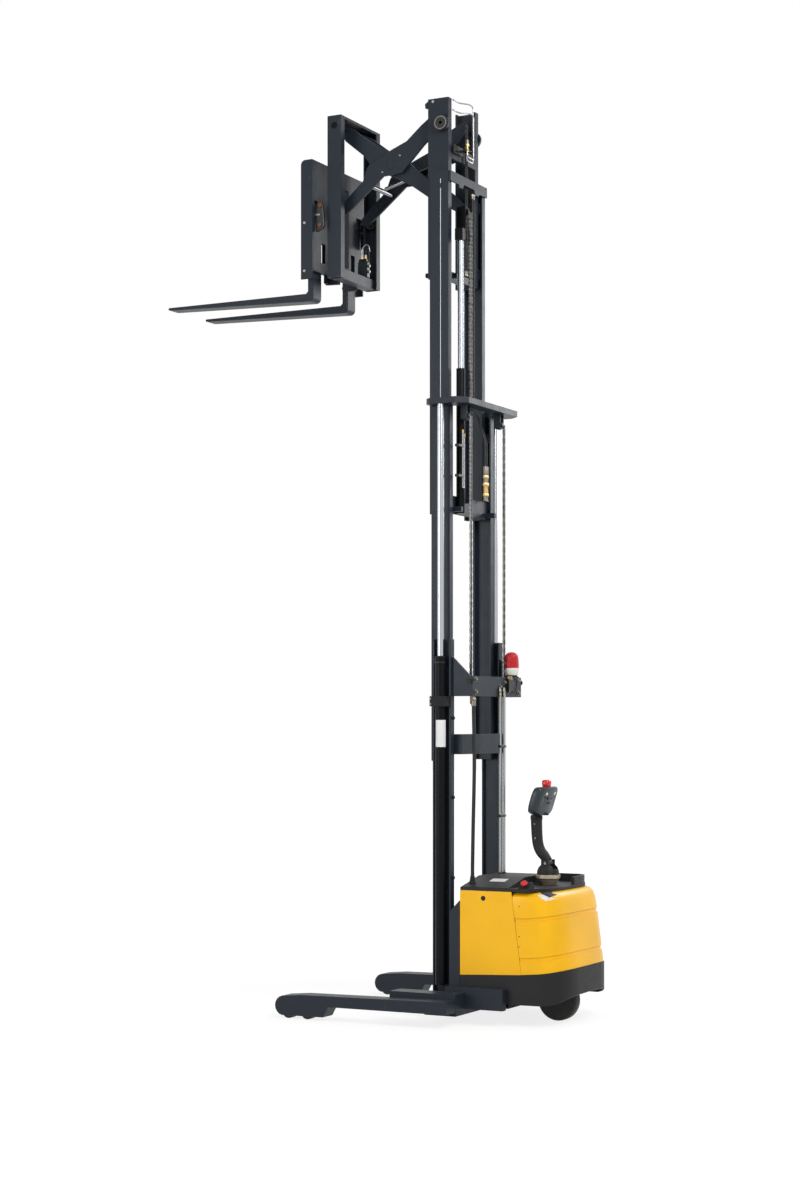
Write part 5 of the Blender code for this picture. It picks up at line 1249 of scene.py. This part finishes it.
def fit_fork_carriage():
    """Side bolts, and the tilt links behind the side plates."""
    bolts = Piece("fork_carriage_bolts")
    for side in (1, -1):
        out = Vector((0, side, 0))
        for height in (4.8488, 4.553):
            bolts.turned(
                (0.3575, side * 0.3301, height), out,
                [(0, 0.0095), (0.0015, 0.0095), (0.002, 0.0088)], "zinc", 20,
            )
            bolts.nut((0.3575, side * 0.3321, height), out, 0.014, 0.0075, "chain_pin")
    bolts.done("fork_carriage", "zinc")

    links = Piece("tilt_links")
    outline = rounded(
        [(0.240, 4.815), (0.2995, 4.790), (0.3045, 4.930), (0.285, 4.985), (0.250, 4.960)],
        0.016, 4,
    )
    for side in (1, -1):
        y = side * 0.290
        low, high = y - 0.008, y + 0.008
        side_plate(links, outline, low, high, "dark_metal")
        for x, height in ((0.268, 4.955), (0.270, 4.835)):
            start = high if side > 0 else low
            links.turned(
                (x, start, height), (0, side, 0), [(0, 0.015), (0.006, 0.015), (0.008, 0.012)],
                "rust_steel", 24,
            )
        links.turned((0.268, y, 4.900), (1, 0, 0), [(0, 0.011), (0.036, 0.011)], "zinc", 20)
    links.done("fork_carriage", "black_paint")


# Body

def fit_lock():
    """The lock in the cover's near side, and the screws along the cover's edge."""
    lock = Piece("cover_lock")
    x, z = MAST_X - 0.359, 0.7436
    lock.turned(
        (x, 0.4003, z), NEAR,
        [(0, 0.0145), (0.0012, 0.0145), (0.0018, 0.0135), (0.0018, 0.0075), (0.0006, 0.0070)],
        "black_plastic", 32,
    )
    lock.slab(
        (x - 0.0012, 0.4005, z - 0.0050), (x + 0.0012, 0.4018, z + 0.0050), "dark_metal", 0.0003,
    )
    lock.done("chassis", "black_plastic")

    screws = Piece("cover_screws")
    head = [(0, 0.0036), (0.0008, 0.0034), (0.0012, 0.0022)]
    for height in (0.50, 0.56, 0.735):
        for side in (1, -1):
            place = (MAST_X - 0.590, side * 0.4003, height - 0.03)
            screws.turned(place, (0, side, 0), head, "dark_metal", 14)
    screws.done("chassis", "zinc")


trees = {}


def surface_at(nodes, start, way):
    """Where a line from start along way first meets the named solids, and the normal there.

    A line that misses them all is tried again a little lower.
    """
    for name in nodes:
        if name not in trees:
            shape = bmesh.new()
            shape.from_mesh(frame["nodes"][name].data)
            shape.transform(frame["nodes"][name].matrix_world)
            trees[name] = BVHTree.FromBMesh(shape)
            shape.free()
    start = Vector(start) + Vector((0.00013, 0.00017, 0.00011))
    for step in range(30):
        best = None
        for name in nodes:
            point, normal, _, reach = trees[name].ray_cast(start - UP * (0.0011 * step), way)
            if point is not None and (best is None or reach < best[2]):
                best = (point, normal, reach)
        if best is not None:
            return best[0], best[1]
    raise RuntimeError(f"nothing of {nodes} lies along {tuple(way)} from {tuple(start)}")


def lay_patch(piece, nodes, corners, way, finish, thick, cells):
    """A thin plate pressed on to a surface along way; corners are where its own corners start."""
    first, second, third, fourth = (Vector(corner) for corner in corners)
    way = Vector(way).normalized()
    tops, lows = [], []
    for i in range(cells[0] + 1):
        row_top, row_low = [], []
        for k in range(cells[1] + 1):
            s, t = i / cells[0], k / cells[1]
            spot = (first * (1 - s) + second * s) * (1 - t) + (fourth * (1 - s) + third * s) * t
            point, normal = surface_at(nodes, spot, way)
            if normal.dot(way) > 0:
                normal = -normal
            row_top.append(piece.mesh.verts.new(point + normal * thick))
            row_low.append(piece.mesh.verts.new(point + normal * 0.0001))
        tops.append(row_top)
        lows.append(row_low)
    mark = piece.index(finish)
    faces = []
    for i in range(cells[0]):
        for k in range(cells[1]):
            faces.append((tops[i][k], tops[i + 1][k], tops[i + 1][k + 1], tops[i][k + 1]))
            faces.append((lows[i][k], lows[i][k + 1], lows[i + 1][k + 1], lows[i + 1][k]))
    for i in range(cells[0]):
        for k in (0, cells[1]):
            faces.append((tops[i][k], tops[i + 1][k], lows[i + 1][k], lows[i][k]))
    for k in range(cells[1]):
        for i in (0, cells[0]):
            faces.append((tops[i][k], tops[i][k + 1], lows[i][k + 1], lows[i][k]))
    for corners in faces:
        piece.mesh.faces.new(corners).material_index = mark


def lay_plates():
    """Blank plates on the lid's slope and the cover's shoulder, and the console's tongue."""
    x, y = MAST_X - 0.385, 0.236
    lid = [
        (x - 0.050, y - 0.030, 1), (x + 0.050, y - 0.030, 1), (x + 0.050, y + 0.030, 1),
        (x - 0.050, y + 0.030, 1),
    ]
    tongue, label = (
        [(MAST_X - back, 1, height) for back, height in corners] for corners in (
            ((0.662, 0.800), (0.722, 0.790), (0.764, 0.768), (0.752, 0.757)),
            ((0.690, 0.772), (0.725, 0.773), (0.778, 0.748), (0.742, 0.738)),
        )
    )
    for name, node, corners, way, finish, slot, thick, cells in (
        ("lid_plate", "lid", lid, -UP, "label_white", "pale_plastic", 0.0008, (8, 6)),
        (
            "console_tongue", "rear_cover", tongue, -NEAR, "black_plastic", "black_plastic", 0.0030,
            (12, 6),
        ),
        ("cover_label", "rear_cover", label, -NEAR, "label_white", "pale_plastic", 0.0008, (8, 6)),
    ):
        plate = Piece(name)
        lay_patch(plate, [node], corners, way, finish, thick, cells)
        plate.done("chassis", slot)


BUTTON_X = MAST_X - 0.614


def fit_emergency_button():
    """Mushroom head with its grip flutes, on the slope of the console."""
    way = Vector((0, 0.035, 0.048)).normalized()
    foot = Vector((BUTTON_X, 0.3745, 0.8255))
    button = Piece("stop_button")
    button.turned(
        foot, way, [(-0.002, 0.0272), (0.001, 0.0285), (0.003, 0.0280)], "black_plastic", 32,
    )
    button.turned(foot, way, [(0.002, 0.0130), (0.012, 0.0125)], "black_plastic", 24)
    button.turned(
        foot, way,
        [
            (0.010, 0.0150), (0.012, 0.0196), (0.0185, 0.0205), (0.0225, 0.0190), (0.0245, 0.0150),
            (0.0245, 0.0100), (0.0232, 0.0070),
        ],
        "red_plastic", 40, 0.0009,
    )
    button.done("chassis", "red_plastic", "emergency_button")


TREAD = 0.0425


def turn_load_wheels():
    """The four load wheels with their bearings."""
    for name, x, side in (
        ("load_wheel_front_left", 0.810, 1), ("load_wheel_rear_left", 0.680, 1),
        ("load_wheel_front_right", 0.810, -1), ("load_wheel_rear_right", 0.680, -1),
    ):
        wheel = Piece(name.replace("load_wheel", "load_roller"))
        centre = (MAST_X + x, side * LEG_Y - 0.033, TREAD)
        profile = [
            (0, 0.0385), (0.003, 0.0415), (0.007, TREAD), (0.059, TREAD), (0.063, 0.0415),
            (0.066, 0.0385),
        ]
        wheel.turned(centre, NEAR, profile, "wheel_tread", 44)
        for face, way in ((0.0662, 1), (-0.0002, -1)):
            place = (centre[0], centre[1] + face, centre[2])
            wheel.turned(
                place, (0, way, 0),
                [(-0.004, 0.029), (-0.0002, 0.029), (0.0000, 0.028), (-0.0005, 0.0205)],
                "dark_metal", 32,
            )
        wheel.done(name, "wheel_tread", name)


def turn_drive_wheel():
    """The drive wheel's tread, rims and bolted hub."""
    wheel = Piece("drive_tyre")
    x, z = MAST_X - 0.670, 0.125
    profile = [
        (0, 0.104), (0.001, 0.117), (0.006, 0.1225), (0.013, 0.125), (0.062, 0.125),
        (0.069, 0.1225), (0.074, 0.117), (0.075, 0.104),
    ]
    wheel.turned((x, -0.0375, z), NEAR, profile, "wheel_tread", 64)
    for side in (1, -1):
        out = Vector((0, side, 0))
        rim = [
            (-0.003, 0.1035), (0.0000, 0.1030), (0.0000, 0.092), (-0.0012, 0.088), (-0.0012, 0.052),
            (0.0000, 0.048), (0.0000, 0.022), (-0.0010, 0.019),
        ]
        wheel.turned((x, side * 0.0374, z), out, rim, "dark_metal", 56)
        for step in range(6):
            turn = math.pi * step / 3 + 0.3
            place = (x + 0.070 * math.cos(turn), side * 0.0362, z + 0.070 * math.sin(turn))
            wheel.nut(place, out, 0.012, 0.0012, "zinc")
    wheel.done("drive_wheel", "wheel_tread", "drive_wheel")


def fit_axle_caps():
    """The axle caps on the outer and inner faces of the legs."""
    caps = Piece("axle_caps")
    cap = [(0, 0.0130), (0.0019, 0.0125), (0.0021, 0.0080), (0.0010, 0.0070)]
    for side in (1, -1):
        for face, way in ((0.695, 1), (0.575, -1)):
            out = Vector((0, side * way, 0))
            for x in (0.810, 0.680):
                place = (MAST_X + x, side * (face - way * 0.0022), 0.0480)
                caps.turned(place, out, cap, "dark_metal", 24)
    caps.done("chassis", "zinc")


# Tiller

HEAD_X = TILLER_X + 0.034


def squared(value, power):
    """A sine or cosine pulled towards a rounded square."""
    return math.copysign(abs(value) ** power, value)


def shape_tiller_head():
    """The head: a waisted shield that leans to the user, hollowed for the thumbs."""
    head = Piece("tiller_shell")
    levels = (
        (1.2205, 0.048, 0.0150, 0.0290), (1.2270, 0.074, 0.0155, 0.0320),
        (1.2350, 0.104, 0.0155, 0.0335), (1.2440, 0.120, 0.0145, 0.0345),
        (1.2560, 0.126, 0.0120, 0.0360), (1.2750, 0.128, 0.0075, 0.0375),
        (1.2980, 0.128, 0.0010, 0.0385), (1.3220, 0.128, -0.0065, 0.0390),
        (1.3450, 0.1275, -0.0140, 0.0385), (1.3630, 0.126, -0.0195, 0.0370),
        (1.3770, 0.121, -0.0235, 0.0345), (1.3860, 0.111, -0.0255, 0.0300),
        (1.3898, 0.096, -0.0260, 0.0230),
    )
    rings = []
    for height, half, shift, deep in levels:
        ring = []
        for step in range(48):
            turn = 2 * math.pi * step / 48
            c, s = math.cos(turn), math.sin(turn)
            across = squared(s, 0.46) * (half * 1.06)
            ahead = squared(c, 0.50) * (deep * 1.18)
            edge = (abs(across) / 0.1235) ** 2
            squeeze = 1.0 - 0.16 * edge
            wing = 0.004 * edge
            hollow = 0.0
            if c < 0:
                reach = (abs(across) - 0.062) / 0.034
                lift = (height - 1.312) / 0.045
                hollow = 0.0095 * math.exp(-reach * reach - lift * lift)
            ring.append((HEAD_X + shift + ahead * squeeze + wing + hollow, across, height))
        rings.append(ring)
    head.loft(rings, "clear_grey")
    head.turned(
        (HEAD_X - 0.001, 0, 1.2198), UP,
        [(0, 0.0350), (0.003, 0.0365), (0.010, 0.0365), (0.013, 0.0340)], "black_plastic", 36,
    )
    for side in (1, -1):
        y = side * 0.058
        wheel_x = HEAD_X - 0.0480
        # Painted highlight: the thumb wheels are drawn pale where their grips catch the light.
        head.turned(
            (wheel_x + 0.006, y - 0.0095, 1.352), NEAR,
            [(0, 0.0125), (0.0012, 0.0145), (0.0178, 0.0145), (0.019, 0.0125)], "pale_plastic", 36,
            0.0009,
        )
        head.slab(
            (wheel_x, y - 0.016, 1.326), (HEAD_X - 0.028, y + 0.016, 1.331),
            "black_plastic", 0.0015,
        )
        head.turned(
            (HEAD_X - 0.0440, side * 0.026, 1.322), AFT,
            [(0, 0.0085), (0.004, 0.0085), (0.0055, 0.0070)], "black_plastic", 24,
        )
    head.slab(
        (HEAD_X - 0.0425, -0.018, 1.286), (HEAD_X - 0.030, 0.018, 1.304), "black_plastic", 0.002,
    )
    head.done("tiller_arm", "black_plastic", "tiller_head")


def shape_belly_switch():
    """The red safety switch at the head's end."""
    button = Piece("belly_switch")
    rings = []
    for height, half, deep in (
        (1.3905, 0.0275, 0.0215), (1.3960, 0.0300, 0.0240), (1.4080, 0.0318, 0.0262),
        (1.4190, 0.0310, 0.0268), (1.4270, 0.0280, 0.0240), (1.4310, 0.0220, 0.0190),
        (1.4322, 0.0140, 0.0115),
    ):
        ring = []
        for step in range(36):
            turn = 2 * math.pi * step / 36
            c, s = math.cos(turn), math.sin(turn)
            place = (TILLER_X + 0.009 + squared(c, 0.8) * deep, squared(s, 0.8) * half, height)
            ring.append(place)
        rings.append(ring)
    button.loft(rings, "red_plastic")
    button.done("tiller_arm", "red_plastic", "belly_button")


def shape_tiller_arm():
    """The bent arm: a flattened tube with a parting bead, screws and a collar below the head."""
    arm = Piece("tiller_stem")
    anchors = [
        (0.000, 0.012), (0.022, 0.040), (0.048, 0.070), (0.064, 0.108), (0.071, 0.160),
        (0.074, 0.220), (0.075, 0.262),
    ]
    route = smooth_route([(TILLER_X + a, 0, TILLER_PIVOT + u) for a, u in anchors], 0.010)
    rings = []
    total = len(route) - 1
    for i, point in enumerate(route):
        ahead = (route[min(i + 1, total)] - route[max(i - 1, 0)]).normalized()
        across = ahead.cross(NEAR)
        t = i / total
        half = 0.0335 - 0.0020 * math.sin(math.pi * min(1.0, t * 1.1))
        flat = 0.0300 + 0.0030 * t
        if t < 0.18:
            half -= 0.006 * (1 - t / 0.18)
            flat -= 0.004 * (1 - t / 0.18)
        ring = []
        for k in range(32):
            turn = 2 * math.pi * k / 32
            c, s = math.cos(turn), math.sin(turn)
            bead = 0.0009 if k in (8, 24) else 0.0
            ring.append(
                point + NEAR * (squared(c, 0.82) * half)
                + across * (squared(s, 0.82) * (flat + bead))
            )
        rings.append(ring)
    arm.loft(rings, "black_plastic")
    top = (TILLER_X + 0.0750, 0, TILLER_PIVOT + 0.2550)
    arm.turned(
        top, UP, [(0, 0.0330), (0.004, 0.0366), (0.020, 0.0366), (0.023, 0.0350), (0.0294, 0.0350)],
        "black_plastic", 40,
    )
    for ahead, up in ((0.0738, 0.232), (0.0695, 0.148)):
        for side in (1, -1):
            y = side * 0.0318
            arm.turned(
                (TILLER_X + ahead, y, TILLER_PIVOT + up), (0, side, 0),
                [(0, 0.0052), (0.0018, 0.0050), (0.0018, 0.0026), (0.0008, 0.0024)], "zinc", 18,
            )
    arm.turned(
        (TILLER_X, -0.0340, TILLER_PIVOT), NEAR,
        [(0, 0.0190), (0.002, 0.0205), (0.066, 0.0205), (0.068, 0.0190)], "black_plastic", 32,
    )
    arm.turned(
        (TILLER_X, -0.0475, TILLER_PIVOT), NEAR,
        [(0, 0.0080), (0.001, 0.0090), (0.094, 0.0090), (0.095, 0.0080)], "zinc", 24,
    )
    arm.done("tiller_arm", "black_plastic", "tiller_arm")


# Stage

# Name, place, target, size and power
LAMPS = (
    ("key", (MAST_X - 5.5, 3.5, 6.5), (MAST_X, 0, 2.2), (3.0, 4.0), 400),
    ("fill", (MAST_X + 4.0, 7.5, 3.0), (MAST_X, 0, 2.4), (3.0, 4.0), 200),
    ("rim", (MAST_X - 2.0, -6.0, 5.0), (MAST_X, 0, 2.5), (3.0, 3.0), 150),
)


def make_lamp(name, place, target, size, power):
    data = bpy.data.lights.new(name, "AREA")
    data.shape = "RECTANGLE"
    data.size = size[0]
    data.size_y = size[1]
    data.energy = power
    lamp = bpy.data.objects.new(name, data)
    bpy.context.scene.collection.objects.link(lamp)
    lamp.location = place
    aim = Vector(target) - Vector(place)
    lamp.rotation_euler = aim.to_track_quat("-Z", "Y").to_euler()


def light_rays(tree):
    """1 where the camera, a mirror or glass looks on, else 0."""
    path = tree.nodes.new("ShaderNodeLightPath")
    seen = path.outputs["Is Camera Ray"]
    for name in ("Is Glossy Ray", "Is Transmission Ray"):
        both = tree.nodes.new("ShaderNodeMath")
        both.operation = "MAXIMUM"
        tree.links.new(seen, both.inputs[0])
        tree.links.new(path.outputs[name], both.inputs[1])
        seen = both.outputs[0]
    return seen


SHADOW_REACH = 2.6
SHADOW_FADE = 1.2
SHADOW_SHARE = 0.26
ROOM_LIGHT = 0.42
FLOOR_GLOW = 1.10


def make_stage():
    """A white floor that keeps a soft shadow near the wheels, and a white room."""
    data = bmesh.new()
    bmesh.ops.create_grid(data, x_segments=1, y_segments=1, size=60.0)
    mesh = bpy.data.meshes.new("floor")
    data.to_mesh(mesh)
    data.free()
    floor = bpy.data.objects.new("floor", mesh)
    bpy.context.scene.collection.objects.link(floor)
    ground = Finish("floor_white", (0.88, 0.88, 0.88), 0.9, specular=0.1)
    tree = ground.tree
    spot = ground.place((1, 1, 0))
    away = ground.node("ShaderNodeVectorMath", {"operation": "LENGTH"}, {0: spot}, "Value")
    near = ((SHADOW_REACH - away) / SHADOW_FADE).clamped()
    seen = Field(ground, light_rays(tree))
    glow = ground.node("ShaderNodeEmission", {}, {"Color": (1, 1, 1, 1), "Strength": FLOOR_GLOW})
    blend = ground.node("ShaderNodeMixShader", {}, {0: seen * (1 - near * SHADOW_SHARE)})
    tree.links.new(ground.shader.outputs[0], blend.socket.node.inputs[1])
    tree.links.new(glow.socket, blend.socket.node.inputs[2])
    tree.links.new(blend.socket, ground.output.inputs["Surface"])
    floor.data.materials.append(ground.material)

    world = bpy.data.worlds.new("white_room")
    bpy.context.scene.world = world
    world.use_nodes = True
    tree = world.node_tree
    back = tree.nodes["Background"]
    strength = tree.nodes.new("ShaderNodeMapRange")
    strength.inputs["To Min"].default_value = ROOM_LIGHT
    strength.inputs["To Max"].default_value = 1.0
    tree.links.new(light_rays(tree), strength.inputs["Value"])
    tree.links.new(strength.outputs[0], back.inputs["Strength"])
    back.inputs["Color"].default_value = (1, 1, 1, 1)


make_camera()
finishes = make_finishes()
dress_nodes(finishes)
for edge_width, edge_finish, solids in EDGES:
    for solid_name in solids:
        ease_edges(solid_name, edge_width, finish=edge_finish)
lay_main_hose()
hang_chains()
fit_crossbar()
run_mast_pipes()
lay_beacon_cable()
fit_upright_stubs()
stick_barrel_label()
dress_barrels()
fit_beacon()
fit_middle_mast()
fit_inner_mast()
fit_top_lines()
build_outer_arms()
build_inner_arms()
fit_guide_bearings()
fit_carriage_top()
fit_reach_frame()
fit_fork_carriage()
fit_lock()
lay_plates()
fit_emergency_button()
turn_load_wheels()
turn_drive_wheel()
fit_axle_caps()
shape_tiller_head()
shape_belly_switch()
shape_tiller_arm()
make_stage()
for lamp in LAMPS:
    make_lamp(*lamp)

bpy.context.scene.view_settings.view_transform = "Standard"
